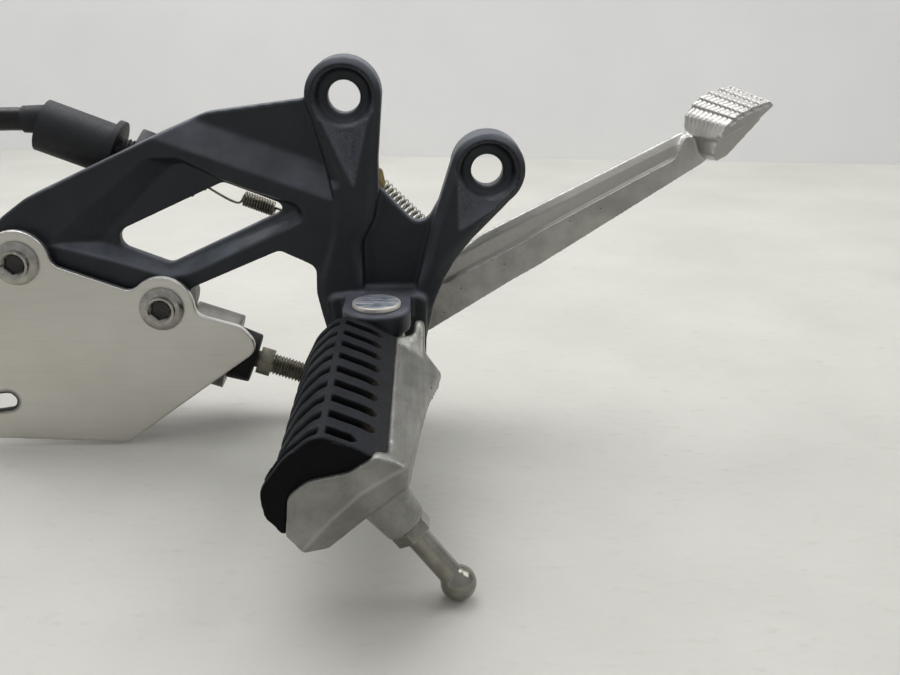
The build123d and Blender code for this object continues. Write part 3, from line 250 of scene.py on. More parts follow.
# Fine grain of a surface: how rough it is from spot to spot, and its relief
grain, entry, leave = new_group(
    "grain",
    [("Place", "Vector"), ("Scale", "Float"), ("Smooth", "Float"), ("Rough", "Float")],
    [("Roughness", "Float"), ("Height", "Float")],
)
fine = noise(grain, entry["Place"], entry["Scale"], 3.0)
grain.links.new(spread(grain, fine, 0.3, 0.7, entry["Smooth"], entry["Rough"]), leave["Roughness"])
grain.links.new(fine, leave["Height"])


def simple_finish(name, dark, light, metallic, roughness, cloud=200.0, grit=1200.0, depth=0.0002):
    """Finish with two cloudy shades and a fine grain."""
    finish, tree, shader, place = new_finish(name, metallic)
    shade = use_group(tree, mottle, Place=place, Scale=cloud, Dark=linear(dark), Light=linear(light))
    tooth = use_group(tree, grain, Place=place, Scale=grit, Smooth=roughness[0], Rough=roughness[1])
    tree.links.new(shade["Colour"], shader.inputs["Base Color"])
    tree.links.new(tooth["Roughness"], shader.inputs["Roughness"])
    relief(tree, shader, tooth["Height"], 0.3, depth)
    return finish, tree, shader, place


sheath_black, _, shader, _ = simple_finish(
    "sheath_black", "#08090a", "#121315", 0.0, (0.26, 0.44), 160.0, 420.0
)
shader.inputs["Specular IOR Level"].default_value = 0.3
lead.data.materials.append(sheath_black)


def pick_only(piece):
    """Selects one piece and makes it the one that operators act on."""
    bpy.ops.object.select_all(action="DESELECT")
    piece.select_set(True)
    bpy.context.view_layer.objects.active = piece


def apply_all(piece):
    """Applies the modifiers of a piece in order."""
    pick_only(piece)
    for modifier in list(piece.modifiers):
        bpy.ops.object.modifier_apply(modifier=modifier.name)


def merged_copy(node, name):
    """Copy of a CAD node's shape with its loose triangles joined up."""
    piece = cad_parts[node].copy()
    piece.data = piece.data.copy()
    piece.name = name
    piece.data.name = name
    piece.parent = None
    piece.matrix_world = Matrix.Identity(4)
    scene.collection.objects.link(piece)
    piece.data.materials.clear()
    pick_only(piece)
    bpy.ops.object.mode_set(mode="EDIT")
    bpy.ops.mesh.select_all(action="SELECT")
    bpy.ops.mesh.remove_doubles(threshold=0.000005)
    bpy.ops.mesh.tris_convert_to_quads(face_threshold=0.02, shape_threshold=3.1)
    bpy.ops.object.mode_set(mode="OBJECT")
    return piece


def round_edges(piece, width, segments=2):
    """Rounds the sharp edges of a piece by a small width."""
    rounding = piece.modifiers.new("edges", "BEVEL")
    rounding.width = width
    rounding.segments = segments
    rounding.limit_method = "ANGLE"
    rounding.angle_limit = math.radians(38)
    apply_all(piece)
    bpy.ops.object.shade_smooth_by_angle(angle=math.radians(40))


def edged(node, name, width, segments=2):
    """Copy of a CAD node with its sharp edges rounded."""
    piece = merged_copy(node, name)
    round_edges(piece, width, segments)
    return piece


def fit(piece, body, finish, node):
    """Gives a piece its finish, puts it on the body it rides on, and hides the CAD node it stands for."""
    piece.data.materials.append(finish)
    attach(piece, body)
    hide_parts(node)


moulded_black = simple_finish("moulded_black", "#141517", "#242528", 0.0, (0.42, 0.6), 240.0, 1500.0)[0]
plug = edged("lead_connector", "lead_plug", 0.0005)
fit(plug, "bracket", moulded_black, "lead_connector")
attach(lead, "bracket")
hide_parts("switch_lead")


# Bracket: one aluminium casting with a satin black coating, bolted to the frame through its two bosses.
# Its rims are broadly rounded, its pockets slope in under the bolt seats, and what faces up is painted
# lighter: partly dust, partly painted top light on the rims.
def ease(value, start, end):
    """Smooth rise from 0 at start to 1 at end."""
    share = min(max((value - start) / (end - start), 0.0), 1.0)
    return share * share * (3.0 - 2.0 * share)


def reskin(piece, voxel, passes):
    """Gives a piece an even skin of small faces and rubs its edges down."""
    skin = piece.modifiers.new("skin", "REMESH")
    skin.mode = "VOXEL"
    skin.voxel_size = voxel
    rub = piece.modifiers.new("rub", "SMOOTH")
    rub.factor = 0.5
    rub.iterations = passes
    apply_all(piece)
    bpy.ops.object.shade_smooth()


def softened(node, name, voxel, passes):
    """Copy of a CAD node with the rounded edges and hollows of a casting."""
    piece = merged_copy(node, name)
    reskin(piece, voxel, passes)
    return piece


BOSS_FACE = -0.015
BOSS_RADIUS = 0.0127
BOSS_CENTRES = [(-0.0241, 0.0133), (0.0241, -0.0115)]
RIM_WIDTH = 0.0036
RIM_DROP = 0.72 * RIM_WIDTH
FACE_REAR = -0.04
FACE_FOOT = -0.054
FACE_FULL = -0.038
FACE_SLACK = 0.0004
COLUMNS = [
    [
        (-0.0367, 0.013), (-0.0315, -0.006), (-0.029, -0.014), (-0.060, -0.016), (-0.060, -0.062),
        (-0.019, -0.062), (-0.019, -0.036), (-0.0149, -0.028), (-0.013, -0.018), (-0.013, -0.008),
        (-0.0114, 0.012),
    ],
    [
        (0.0115, -0.009), (0.0068, -0.024), (0.0049, -0.030), (-0.0006, -0.0526), (-0.002, -0.060),
        (0.0046, -0.060), (0.0104, -0.0456), (0.019, -0.035), (0.031, -0.0225), (0.0366, -0.012),
    ],
]
POCKETS = [
    [(-0.0319, 0.006), (-0.0156, 0.006), (-0.0212, -0.0172)],
    [
        (0.0134, -0.016), (0.0241, -0.0119), (0.0330, -0.0172), (0.0300, -0.0206), (0.0265, -0.0246),
        (0.0139, -0.032),
    ],
]
POCKET_DEPTH = 0.0035
POCKET_SLOPE = 0.0042
POCKET_LIP = 0.0006
POCKET_STOP_RADIUS = 0.0099
POCKET_STOP_DROP = 0.0005
SEAT_DROP = 0.0004
SEAT_DEPTH = 0.0082
SEAT_INSIDE = (0.0062, 0.0076)
SEAT_OUTSIDE = (0.0092, 0.0118)
SEAT_WIDER = 0.0006


def widen_seat(at):
    """Moves a point of a bolt seat's wall outwards from the seat's axis."""
    for x, z in BOSS_CENTRES:
        off = math.hypot(at.x - x, at.z - z + SEAT_DROP)
        share = ease(off, *SEAT_INSIDE) * (1.0 - ease(off, *SEAT_OUTSIDE))
        if at.y < BOSS_FACE + SEAT_DEPTH and share > 0.0:
            at.x += (at.x - x) / off * SEAT_WIDER * share
            at.z += (at.z - z + SEAT_DROP) / off * SEAT_WIDER * share


def depth_inside(x, z, corners):
    """Distance of a point from a polygon's nearest side, below zero if it lies outside."""
    crossings, nearest = 0, 1.0
    for (x0, z0), (x1, z1) in zip(corners, corners[1:] + corners[:1]):
        if (z0 > z) != (z1 > z) and x < x0 + (z - z0) * (x1 - x0) / (z1 - z0):
            crossings += 1
        t = ((x - x0) * (x1 - x0) + (z - z0) * (z1 - z0)) / ((x1 - x0) ** 2 + (z1 - z0) ** 2)
        t = min(max(t, 0.0), 1.0)
        nearest = min(nearest, math.hypot(x - x0 - t * (x1 - x0), z - z0 - t * (z1 - z0)))
    return nearest if crossings % 2 == 1 else -nearest


def rounded_rim(at):
    """How far out the casting may reach at a point, with the rims of bosses and columns falling away."""
    depths = [BOSS_RADIUS - math.hypot(at.x - x, at.z - z) for x, z in BOSS_CENTRES]
    depths += [depth_inside(at.x, at.z, column) for column in COLUMNS]
    left = 1.0 - min(max(max(depths) / RIM_WIDTH, 0.0), 1.0)
    return BOSS_FACE + RIM_DROP * left ** 1.25 * ease(at.z, FACE_FOOT, FACE_FULL)


def pocket_floor(at):
    """How deep a pocket may be at a point, with its walls sloping down to the floor."""
    seats = [math.hypot(at.x - x, at.z - z + POCKET_STOP_DROP) for x, z in BOSS_CENTRES]
    depth = max(depth_inside(at.x, at.z, pocket) for pocket in POCKETS)
    if min(seats) < POCKET_STOP_RADIUS or depth <= 0.0:
        return 0.0
    return BOSS_FACE + POCKET_DEPTH * depth / POCKET_SLOPE


def in_pocket(at):
    """Whether a point is no deeper than the pockets' floor, and lies behind the bosses' face."""
    return BOSS_FACE < at.y < BOSS_FACE + POCKET_DEPTH + POCKET_LIP


def painted(tree, name):
    """Mask that was set point by point on the piece."""
    node = tree.nodes.new("ShaderNodeAttribute")
    node.attribute_name = name
    return node.outputs["Fac"]


def sum_up(tree, a, b, how="MULTIPLY"):
    """Two values multiplied, or joined by another sum, kept between 0 and 1."""
    node = tree.nodes.new("ShaderNodeMath")
    node.operation = how
    node.use_clamp = True
    set_or_link(tree, node.inputs[0], a)
    set_or_link(tree, node.inputs[1], b)
    return node.outputs["Value"]


# Dust and painted top light: what faces up is painted lighter, in patches
dust_and_top_light, entry, leave = new_group(
    "dust_and_top_light",
    [("Place", "Vector"), ("Clean", "Color"), ("Dust", "Color"), ("Amount", "Float")],
    [("Colour", "Color")],
)
normal = dust_and_top_light.nodes.new("ShaderNodeNewGeometry").outputs["Normal"]
lying = spread(dust_and_top_light, axis_value(dust_and_top_light, normal, "Z"), 0.05, 0.8)
patchy = spread(dust_and_top_light, noise(dust_and_top_light, entry["Place"], 90.0, 5.0), 0.2, 0.7, 0.3, 1.0)
dust_and_light_share = sum_up(dust_and_top_light, sum_up(dust_and_top_light, lying, patchy), entry["Amount"])
dust_and_top_light.links.new(blend_colour(dust_and_top_light, dust_and_light_share, entry["Clean"], entry["Dust"]), leave["Colour"])

coating, tree, shader, place = new_finish("satin_black_coating")
shade = use_group(tree, mottle, Place=place, Scale=55.0, Dark=linear("#11151b"), Light=linear("#1b2027"))
# Up-facing faces are painted much lighter: dust, and painted top light on the upper rims of the bosses and
# columns.
dusty_and_top_lit = use_group(tree, dust_and_top_light, Place=place, Clean=shade["Colour"], Dust=linear("#6a6f78"), Amount=0.95)
tooth = use_group(tree, grain, Place=place, Scale=1500.0, Smooth=0.38, Rough=0.56)
grit = spread(tree, tooth["Height"], 0.35, 0.65, 0.4, 1.0)
gritty = sum_up(tree, painted(tree, "pocket"), grit)
pale = blend_colour(tree, gritty, dusty_and_top_lit["Colour"], linear("#52565e"))
shader.inputs["Specular IOR Level"].default_value = 0.4
tree.links.new(pale, shader.inputs["Base Color"])
tree.links.new(tooth["Roughness"], shader.inputs["Roughness"])
relief(tree, shader, tooth["Height"], 0.4, 0.00025)
bracket = softened("footrest_bracket", "bracket_casting", 0.0006, 1)
for vertex in bracket.data.vertices:
    widen_seat(vertex.co)
    on_face = BOSS_FACE - FACE_SLACK < vertex.co.y < BOSS_FACE + RIM_DROP
    if on_face and vertex.co.x > FACE_REAR and vertex.co.z > FACE_FOOT:
        vertex.co.y = max(vertex.co.y, rounded_rim(vertex.co))
    if in_pocket(vertex.co) and vertex.co.x > FACE_REAR:
        vertex.co.y = min(vertex.co.y, pocket_floor(vertex.co))
reskin(bracket, 0.00063, 2)
pocket_grit = bracket.data.attributes.new("pocket", "FLOAT", "POINT")
for vertex, mark in zip(bracket.data.vertices, pocket_grit.data):
    if in_pocket(vertex.co) and pocket_floor(vertex.co) < 0.0:
        mark.value = min((pocket_floor(vertex.co) - BOSS_FACE) / POCKET_LIP, 1.0)
fit(bracket, "bracket", coating, "footrest_bracket")


# Master cylinder: a bare aluminium casting behind the guard, with a rubber boot, a circlip and a hose elbow.
# Its inside parts only show in a cut.

# Small pits in a share of the places where they can be
pits, entry, leave = new_group(
    "pits",
    [("Place", "Vector"), ("Scale", "Float"), ("Share", "Float")],
    [("Mask", "Float")],
)
cells = pits.nodes.new("ShaderNodeTexVoronoi")
pits.links.new(entry["Place"], cells.inputs["Vector"])
pits.links.new(entry["Scale"], cells.inputs["Scale"])
chosen = sum_up(pits, axis_value(pits, cells.outputs["Color"], "X"), entry["Share"], "LESS_THAN")
spot = spread(pits, cells.outputs["Distance"], 0.08, 0.2, 1.0, 0.0)
pits.links.new(sum_up(pits, spot, chosen), leave["Mask"])


def cast_finish(name, dark, light, stain, pit_scale, pit_share, metallic=0.85):
    """Bare cast or forged aluminium: cloudy grey with stains and small dark pits."""
    finish, tree, shader, place = new_finish(name, metallic)
    shade = use_group(tree, mottle, Place=place, Scale=120.0, Dark=linear(dark), Light=linear(light))
    stained = spread(tree, noise(tree, place, 45.0, 6.0), 0.54, 0.74, 0.0, 0.55)
    base = blend_colour(tree, stained, shade["Colour"], linear(stain))
    hole = use_group(tree, pits, Place=place, Scale=pit_scale, Share=pit_share)["Mask"]
    colour = blend_colour(tree, hole, base, linear("#2e2c28"))
    tooth = use_group(tree, grain, Place=place, Scale=900.0, Smooth=0.36, Rough=0.54)
    tree.links.new(tooth["Roughness"], shader.inputs["Roughness"])
    tree.links.new(colour, shader.inputs["Base Color"])
    relief(tree, shader, sum_up(tree, tooth["Height"], hole, "SUBTRACT"), 0.35, 0.0003)
    return finish, tree, shader, place, colour


cast_grey = cast_finish("bare_casting", "#62615d", "#787772", "#55544e", 260.0, 0.05)[0]
cylinder = softened("master_cylinder_body", "cylinder_casting", 0.0006, 3)
fit(cylinder, "bracket", cast_grey, "master_cylinder_body")

dull_steel = simple_finish("dulled_plating", "#6a675c", "#8b877b", 1.0, (0.3, 0.52), 260.0, 600.0)[0]

CYLINDER_AXIS = Vector((0.942641, 0.0, -0.333807))
CYLINDER_START = Vector((-0.09441, 0.008, -0.07473))


def on_cylinder(along):
    """Point on the cylinder's axis, so many metres along it."""
    return CYLINDER_START + along * CYLINDER_AXIS


circlip = edged("cylinder_circlip", "bore_circlip", 0.0002)
fit(circlip, "bracket", dull_steel, "cylinder_circlip")
sooty_rubber, _, shader, _ = simple_finish("sooty_rubber", "#060709", "#0c0d10", 0.0, (0.5, 0.68))
shader.inputs["Specular IOR Level"].default_value = 0.22
boot = edged("cylinder_boot", "pushrod_boot", 0.001, 4)
fit(boot, "bracket", sooty_rubber, "cylinder_boot")
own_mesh(boot)
elbow = edged("inlet_elbow", "hose_elbow", 0.0004)
fit(elbow, "bracket", moulded_black, "inlet_elbow")
retainer = edged("elbow_retainer", "elbow_ring", 0.0002)
fit(retainer, "bracket", dull_steel, "elbow_retainer")

wire_bright = simple_finish("bright_wire", "#8f8d85", "#b3b1a8", 1.0, (0.22, 0.36), 500.0, 900.0)[0]
bore_spring = merged_copy("piston_spring", "bore_spring")
bpy.ops.object.shade_smooth_by_angle(angle=math.radians(50))
fit(bore_spring, "bracket", wire_bright, "piston_spring")
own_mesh(bore_spring)


# Heel guard: a stamped aluminium plate, brushed, that hides the master cylinder from the rider's heel.
# Two flanged screws clamp guard, bracket and cylinder together.
brushed, tree, shader, place = new_finish("brushed_plate", metallic=1.0)
lines = noise(tree, place, 1100.0, 3.0, (0.04, 1.0, 1.0))
shade = use_group(tree, mottle, Place=place, Scale=26.0, Dark=linear("#c3c0b9"), Light=linear("#cdcbc4"))
worn = blend_colour(tree, spread(tree, lines, 0.5, 0.75, 0.0, 0.12), shade["Colour"], linear("#a6a39c"))
nick = use_group(tree, pits, Place=place, Scale=400.0, Share=0.004)["Mask"]
nicked = blend_colour(tree, nick, worn, linear("#6d6a64"))
# Faces that look up are painted near-white: a painted highlight along the plate's rounded top edges.
normal = tree.nodes.new("ShaderNodeNewGeometry").outputs["Normal"]
faces_up_share = spread(tree, axis_value(tree, normal, "Z"), 0.3, 0.7)
with_top_highlight = blend_colour(tree, faces_up_share, nicked, linear("#f2f1ed"))
# A band round the slot is painted near-black and not metallic: painted shade of the slot's wall.
slot_shaded = painted(tree, "slot_shade")
tree.links.new(blend_colour(tree, slot_shaded, with_top_highlight, linear("#0b0b0c")), shader.inputs["Base Color"])
tree.links.new(spread(tree, slot_shaded, 0.0, 1.0, 1.0, 0.0), shader.inputs["Metallic"])
tree.links.new(spread(tree, lines, 0.3, 0.7, 0.38, 0.44), shader.inputs["Roughness"])
relief(tree, shader, lines, 0.05, 0.0001)
guard = softened("heel_guard", "heel_guard_plate", 0.00045, 8)
SLOT_ENDS = [Vector((-0.15446, -0.09253)), Vector((-0.14554, -0.09127))]
SLOT_RADIUS = 0.0039
SLOT_SHADE_WIDTH = 0.001
# Round the slot the plate is drawn in by up to 1 mm, a band that carries the painted shade of the slot's
# wall.
slot_shade = guard.data.attributes.new("slot_shade", "FLOAT", "POINT")
for vertex, dark in zip(guard.data.vertices, slot_shade.data):
    spot = Vector((vertex.co.x, vertex.co.z))
    along = SLOT_ENDS[1] - SLOT_ENDS[0]
    share = min(max((spot - SLOT_ENDS[0]).dot(along) / along.length_squared, 0.0), 1.0)
    middle = SLOT_ENDS[0].lerp(SLOT_ENDS[1], share)
    off = (spot - middle).length
    dark.value = 1.0 - ease(off, SLOT_RADIUS + 0.5 * SLOT_SHADE_WIDTH, SLOT_RADIUS + SLOT_SHADE_WIDTH)
    if dark.value > 0.0:
        inward = (middle - spot) / off * SLOT_SHADE_WIDTH * dark.value
        vertex.co += Vector((inward.x, 0.0, inward.y))
fit(guard, "bracket", brushed, "heel_guard")

screw_zinc, tree, shader, _ = simple_finish(
    "screw_zinc", "#92908a", "#aba9a3", 1.0, (0.16, 0.3), 330.0, 700.0
)
# Deeper down the hex sockets the screws are painted darker and less metallic: painted shade in the sockets.
socket_shaded = painted(tree, "socket")
plated = shader.inputs["Base Color"].links[0].from_socket
tree.links.new(blend_colour(tree, socket_shaded, plated, linear("#1b1a17")), shader.inputs["Base Color"])
tree.links.new(spread(tree, socket_shaded, 0.2, 0.9, 1.0, 0.1), shader.inputs["Metallic"])
screws = edged("guard_screws", "flanged_screws", 0.00025, 3)
SCREW_AXES = [(-0.1354, -0.0407), (-0.08827, -0.05739)]
SOCKET_RADIUS = 0.0037
SOCKET_MOUTH = -0.0213
SOCKET_FLOOR = -0.0191
SOCKET_END = SOCKET_FLOOR + 0.0003
# How far down a socket each point lies, for the painted shade there.
socket_shade = screws.data.attributes.new("socket", "FLOAT", "POINT")
for vertex, shade_share in zip(screws.data.vertices, socket_shade.data):
    off_axis = min(math.hypot(vertex.co.x - x, vertex.co.z - z) for x, z in SCREW_AXES)
    if off_axis < SOCKET_RADIUS and vertex.co.y < SOCKET_END:
        share = (vertex.co.y - SOCKET_MOUTH) / (SOCKET_FLOOR - SOCKET_MOUTH)
        shade_share.value = min(max(share, 0.0), 1.0) ** 0.5
fit(screws, "bracket", screw_zinc, "guard_screws")


# Brake pedal: an aluminium forging that turns on a shoulder bolt behind the bracket.
# Its side has a dull web set back above a proud flange; the toe pad is bright, with five rows of teeth, and
# painted lighter still where it faces up as painted top light.
PAD_START = 0.093
PAD_INNER_Y = 0.011
PAD_WIDTH = 0.031
PAD_INNER = [(0.0949, 0.0035), (0.0978, 0.0088), (0.1018, 0.0116), (0.1098, 0.0144)]
PAD_OUTER = [(0.1009, 0.0043), (0.1043, 0.0076), (0.1092, 0.0104), (0.1146, 0.0124)]
PAD_REACH = 0.0016
TOOTH_ROWS = 5
TEETH = 9.5
STEP_DEPTH = 0.0008
TOOTH_DEPTH = 0.0009
FLUTE_LENGTH = 0.0033


def along_pad(at):
    """How far up the toe pad's curved top a point is, from 0 to 1, and its distance from that top."""
    share = (PAD_INNER_Y - at.y) / PAD_WIDTH
    path = [Vector(a).lerp(Vector(b), share) for a, b in zip(PAD_INNER, PAD_OUTER)]
    spot = Vector((at.x, at.z))
    lengths = [(b - a).length for a, b in zip(path, path[1:])]
    passed, best, off = 0.0, 0.0, 1.0
    for a, b, length in zip(path, path[1:], lengths):
        t = min(max((spot - a).dot(b - a) / length ** 2, 0.0), 1.0)
        gap = (spot - a.lerp(b, t)).length
        if gap < off:
            off, best = gap, passed + t * length
        passed += length
    return best / passed, off


def tooth_cut(at, outward):
    """Depth cut from the toe pad at a point: rows like shingles, each of barrel-shaped teeth."""
    up, off = along_pad(at)
    across = TEETH * (PAD_INNER_Y - at.y) / PAD_WIDTH
    valley = 1.0 - math.sqrt(1.0 - (2.0 * (across - math.floor(across)) - 1.0) ** 2)
    if up < 0.02 and outward.x < -0.5:
        return TOOTH_DEPTH * valley * max(1.0 - off / FLUTE_LENGTH, 0.0)
    if off > PAD_REACH:
        return 0.0
    row = up * TOOTH_ROWS
    step = row - math.floor(row)
    ridge = ease(step, 0.0, 0.16) * (1.0 - ease(step, 0.16, 1.15))
    at_front = 1.0 - ease(up, 0.95, 1.0)
    return (STEP_DEPTH * (1.0 - ridge) * ease(up, 0.02, 0.12) + TOOTH_DEPTH * valley) * at_front


def on_toe_pad(face):
    """Faces near the toe pad's curved top, where the teeth are cut."""
    return face.center.x > PAD_START and along_pad(face.center)[1] < 2 * PAD_REACH


def divide(piece, chosen):
    """Divides the chosen faces of a piece, for detail finer than its skin."""
    for face in piece.data.polygons:
        face.select = chosen(face)
    bpy.ops.object.mode_set(mode="EDIT")
    bpy.ops.mesh.select_mode(type="FACE")
    bpy.ops.mesh.subdivide(number_cuts=1)
    bpy.ops.object.mode_set(mode="OBJECT")


pedal = softened("brake_pedal", "pedal_forging", 0.0005, 2)
divide(pedal, on_toe_pad)
toe_points = [v for v in pedal.data.vertices if v.co.x > PAD_START]
cuts = [(v, v.normal.copy(), tooth_cut(v.co, v.normal)) for v in toe_points]
for vertex, outward, cut in cuts:
    vertex.co -= outward * cut
bpy.ops.object.shade_smooth()

forged, tree, shader, place, colour = cast_finish(
    "forged_aluminium", "#969590", "#adaca6", "#84827b", 640.0, 0.1
)
set_back = spread(tree, axis_value(tree, place, "Y"), 0.0036, 0.0048)
beyond_web = spread(tree, axis_value(tree, place, "X"), PAD_START - 0.003, PAD_START)
web = sum_up(tree, set_back, beyond_web, "SUBTRACT")
normal = tree.nodes.new("ShaderNodeNewGeometry").outputs["Normal"]
# Faces that look up are painted lighter all over the forging: a painted highlight on what faces up.
side_on = spread(tree, axis_value(tree, normal, "Z"), 0.15, 0.5, 1.0, 0.0)
edge = blend_colour(tree, spread(tree, side_on, 0.0, 1.0, 0.6, 0.0), colour, linear("#c4c3bd"))
dull = blend_colour(tree, sum_up(tree, web, side_on), edge, linear("#aeada7"))
# The toe pad is painted lighter, and most where it faces up: partly its bright finish, partly painted top
# light.
lightened = spread(tree, axis_value(tree, normal, "Z"), 0.0, 0.4, 0.25, 1.0)
bright = blend_colour(tree, sum_up(tree, beyond_web, lightened), dull, linear("#cbcac6"))
tree.links.new(bright, shader.inputs["Base Color"])
fit(pedal, "pedal", forged, "brake_pedal")
bush = edged("pedal_bush", "hub_bush", 0.0003)
fit(bush, "pedal", dull_steel, "pedal_bush")
zinc = simple_finish("bright_zinc", "#a5a39b", "#bdbbb4", 1.0, (0.24, 0.42), 330.0, 700.0)[0]
pivot_bolt = edged("pedal_pivot_bolt", "shoulder_bolt", 0.0004)
fit(pivot_bolt, "bracket", zinc, "pedal_pivot_bolt")


# Pushrod: a plated rod with an adjusting hex and a rolled M8 thread, screwed into a clevis.
# The clevis is pinned to the pedal's short arm, and a locknut holds the setting.
def placed_along(piece, foot, axis):
    """Moves a shape modelled up the Z axis from the origin onto another foot and axis."""
    turn = Vector((0, 0, 1)).rotation_difference(axis).to_matrix().to_4x4()
    piece.data.transform(Matrix.Translation(foot) @ turn)


THREAD_SINK = 0.0001


def thread_sleeve(name, foot, axis, core, crest, pitch, turns):
    """Rolled thread round an axis: one ridge's outline wound up a screw line, its root just in the core."""
    root = core - THREAD_SINK
    ridge = bpy.data.meshes.new(name)
    corners = [(root, 0, 0), (crest, 0, 0.42 * pitch), (crest, 0, 0.58 * pitch), (root, 0, pitch)]
    ridge.from_pydata(corners, [(0, 1), (1, 2), (2, 3)], [])
    sleeve = bpy.data.objects.new(name, ridge)
    scene.collection.objects.link(sleeve)
    wind = sleeve.modifiers.new("wind", "SCREW")
    wind.axis = "Z"
    wind.screw_offset = pitch
    wind.iterations = turns
    wind.steps = 32
    wind.render_steps = 32
    wind.use_merge_vertices = True
    wind.merge_threshold = 0.000001
    apply_all(sleeve)
    bpy.ops.object.mode_set(mode="EDIT")
    bpy.ops.mesh.select_all(action="SELECT")
    bpy.ops.mesh.normals_make_consistent(inside=False)
    bpy.ops.object.mode_set(mode="OBJECT")
    bpy.ops.object.shade_smooth_by_angle(angle=math.radians(30))
    placed_along(sleeve, foot, axis)
    return sleeve


def join_into(piece, other):
    """Makes another shape part of a piece."""
    bpy.ops.object.select_all(action="DESELECT")
    other.select_set(True)
    piece.select_set(True)
    bpy.context.view_layer.objects.active = piece
    bpy.ops.object.join()


ROD_SHANK_START = 0.0405
ROD_SHANK_RADIUS = 0.0042
ROD_THREAD_START = 0.0406
ROD_CORE = 0.0033
ROD_CREST = 0.00398
ROD_PITCH = 0.00125
ROD_TURNS = 12
rod = merged_copy("pushrod", "threaded_rod")
for vertex in rod.data.vertices:
    along = (vertex.co - CYLINDER_START).dot(CYLINDER_AXIS)
    radial = vertex.co - on_cylinder(along)
    if along > ROD_SHANK_START and ROD_CORE < radial.length < ROD_SHANK_RADIUS:
        vertex.co = on_cylinder(along) + radial.normalized() * ROD_CORE
round_edges(rod, 0.0004)
rod_thread = thread_sleeve(
    "rod_thread", on_cylinder(ROD_THREAD_START), CYLINDER_AXIS, ROD_CORE, ROD_CREST, ROD_PITCH, ROD_TURNS
)
join_into(rod, rod_thread)
fit(rod, "rod", dull_steel, "pushrod")
piston = edged("cylinder_piston", "bore_piston", 0.0003)
fit(piston, "rod", cast_grey, "cylinder_piston")
black_rubber, tree, shader, place = new_finish("black_rubber")
shader.inputs["Specular IOR Level"].default_value = 0.38
shade = use_group(tree, mottle, Place=place, Scale=150.0, Dark=linear("#0f1114"), Light=linear("#17191d"))
# What faces up is painted lighter: dust and painted top light.
dusty_and_top_lit = use_group(tree, dust_and_top_light, Place=place, Clean=shade["Colour"], Dust=linear("#3a3d42"), Amount=0.45)
tooth = use_group(tree, grain, Place=place, Scale=1300.0, Smooth=0.48, Rough=0.68)
tree.links.new(dusty_and_top_lit["Colour"], shader.inputs["Base Color"])
tree.links.new(tooth["Roughness"], shader.inputs["Roughness"])
relief(tree, shader, tooth["Height"], 0.25, 0.0002)
cups = edged("piston_cups", "piston_seals", 0.0003)
fit(cups, "rod", black_rubber, "piston_cups")
clevis = edged("pushrod_clevis", "rod_clevis", 0.0006, 3)
fit(clevis, "rod", zinc, "pushrod_clevis")
locknut = edged("clevis_locknut", "rod_locknut", 0.0005)
fit(locknut, "rod", dull_steel, "clevis_locknut")
clevis_pin = edged("clevis_pin", "rod_pin", 0.0003)
fit(clevis_pin, "rod", zinc, "clevis_pin")
clevis_clip = edged("clevis_pin_clip", "rod_pin_clip", 0.0002)
fit(clevis_clip, "rod", dull_steel, "clevis_pin_clip")


# Return spring: bright wire, hooked from a yellow zinc anchor on the bracket to a tab on the pedal.
# The real spring stretches as the pedal goes down; here it is a fixed shape on no moving body.
yellow_zinc = simple_finish("yellow_zinc", "#7d6e44", "#a08f66", 0.9, (0.32, 0.5), 300.0, 800.0)[0]
anchor = edged("spring_anchor", "return_anchor", 0.0003)
fit(anchor, "bracket", yellow_zinc, "spring_anchor")
WIRE_THINNER = 0.00018
return_spring = merged_copy("pedal_return_spring", "return_spring")
thinner = [v.co - WIRE_THINNER * v.normal for v in return_spring.data.vertices]
for vertex, at in zip(return_spring.data.vertices, thinner):
    vertex.co = at
bpy.ops.object.shade_smooth_by_angle(angle=math.radians(50))
return_spring.data.materials.append(wire_bright)
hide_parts("pedal_return_spring")
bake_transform(return_spring)


# Brake light switch: a threaded plastic barrel in the bracket's holder, under a rubber boot.
# Its plunger is pulled by a fine spring with a long bowed wire, hooked to the pedal.
SWITCH_AXIS = Vector((0.932324, 0.0, -0.361625))
SWITCH_START = Vector((-0.062, 0.0075, -0.0246))
SWITCH_UP = Vector((0.361625, 0.0, 0.932324))


def on_switch(along, up=0.0):
    """Point on the switch's axis, so many metres along it and above it."""
    return SWITCH_START + along * SWITCH_AXIS + up * SWITCH_UP


BARREL_CORE = 0.0052
BARREL_CREST = 0.0059
BARREL_THREAD_START = -0.0459
BARREL_PITCH = 0.0014
BARREL_TURNS = 20
barrel = merged_copy("switch_body", "switch_barrel")
for vertex in barrel.data.vertices:
    along = (vertex.co - SWITCH_START).dot(SWITCH_AXIS)
    radial = vertex.co - on_switch(along)
    if radial.length > BARREL_CORE:
        vertex.co = on_switch(along) + radial.normalized() * BARREL_CORE
bpy.ops.object.shade_smooth_by_angle(angle=math.radians(40))
barrel_thread = thread_sleeve(
    "barrel_thread", on_switch(BARREL_THREAD_START), SWITCH_AXIS,
    BARREL_CORE, BARREL_CREST, BARREL_PITCH, BARREL_TURNS,
)
join_into(barrel, barrel_thread)
fit(barrel, "bracket", moulded_black, "switch_body")
switch_nut = edged("switch_adjuster_nut", "adjuster_nut", 0.0006)
fit(switch_nut, "bracket", moulded_black, "switch_adjuster_nut")
switch_boot = edged("switch_boot", "terminal_boot", 0.0012, 4)
fit(switch_boot, "bracket", black_rubber, "switch_boot")
plunger = edged("switch_plunger", "pull_rod", 0.0002)
fit(plunger, "plunger", moulded_black, "switch_plunger")

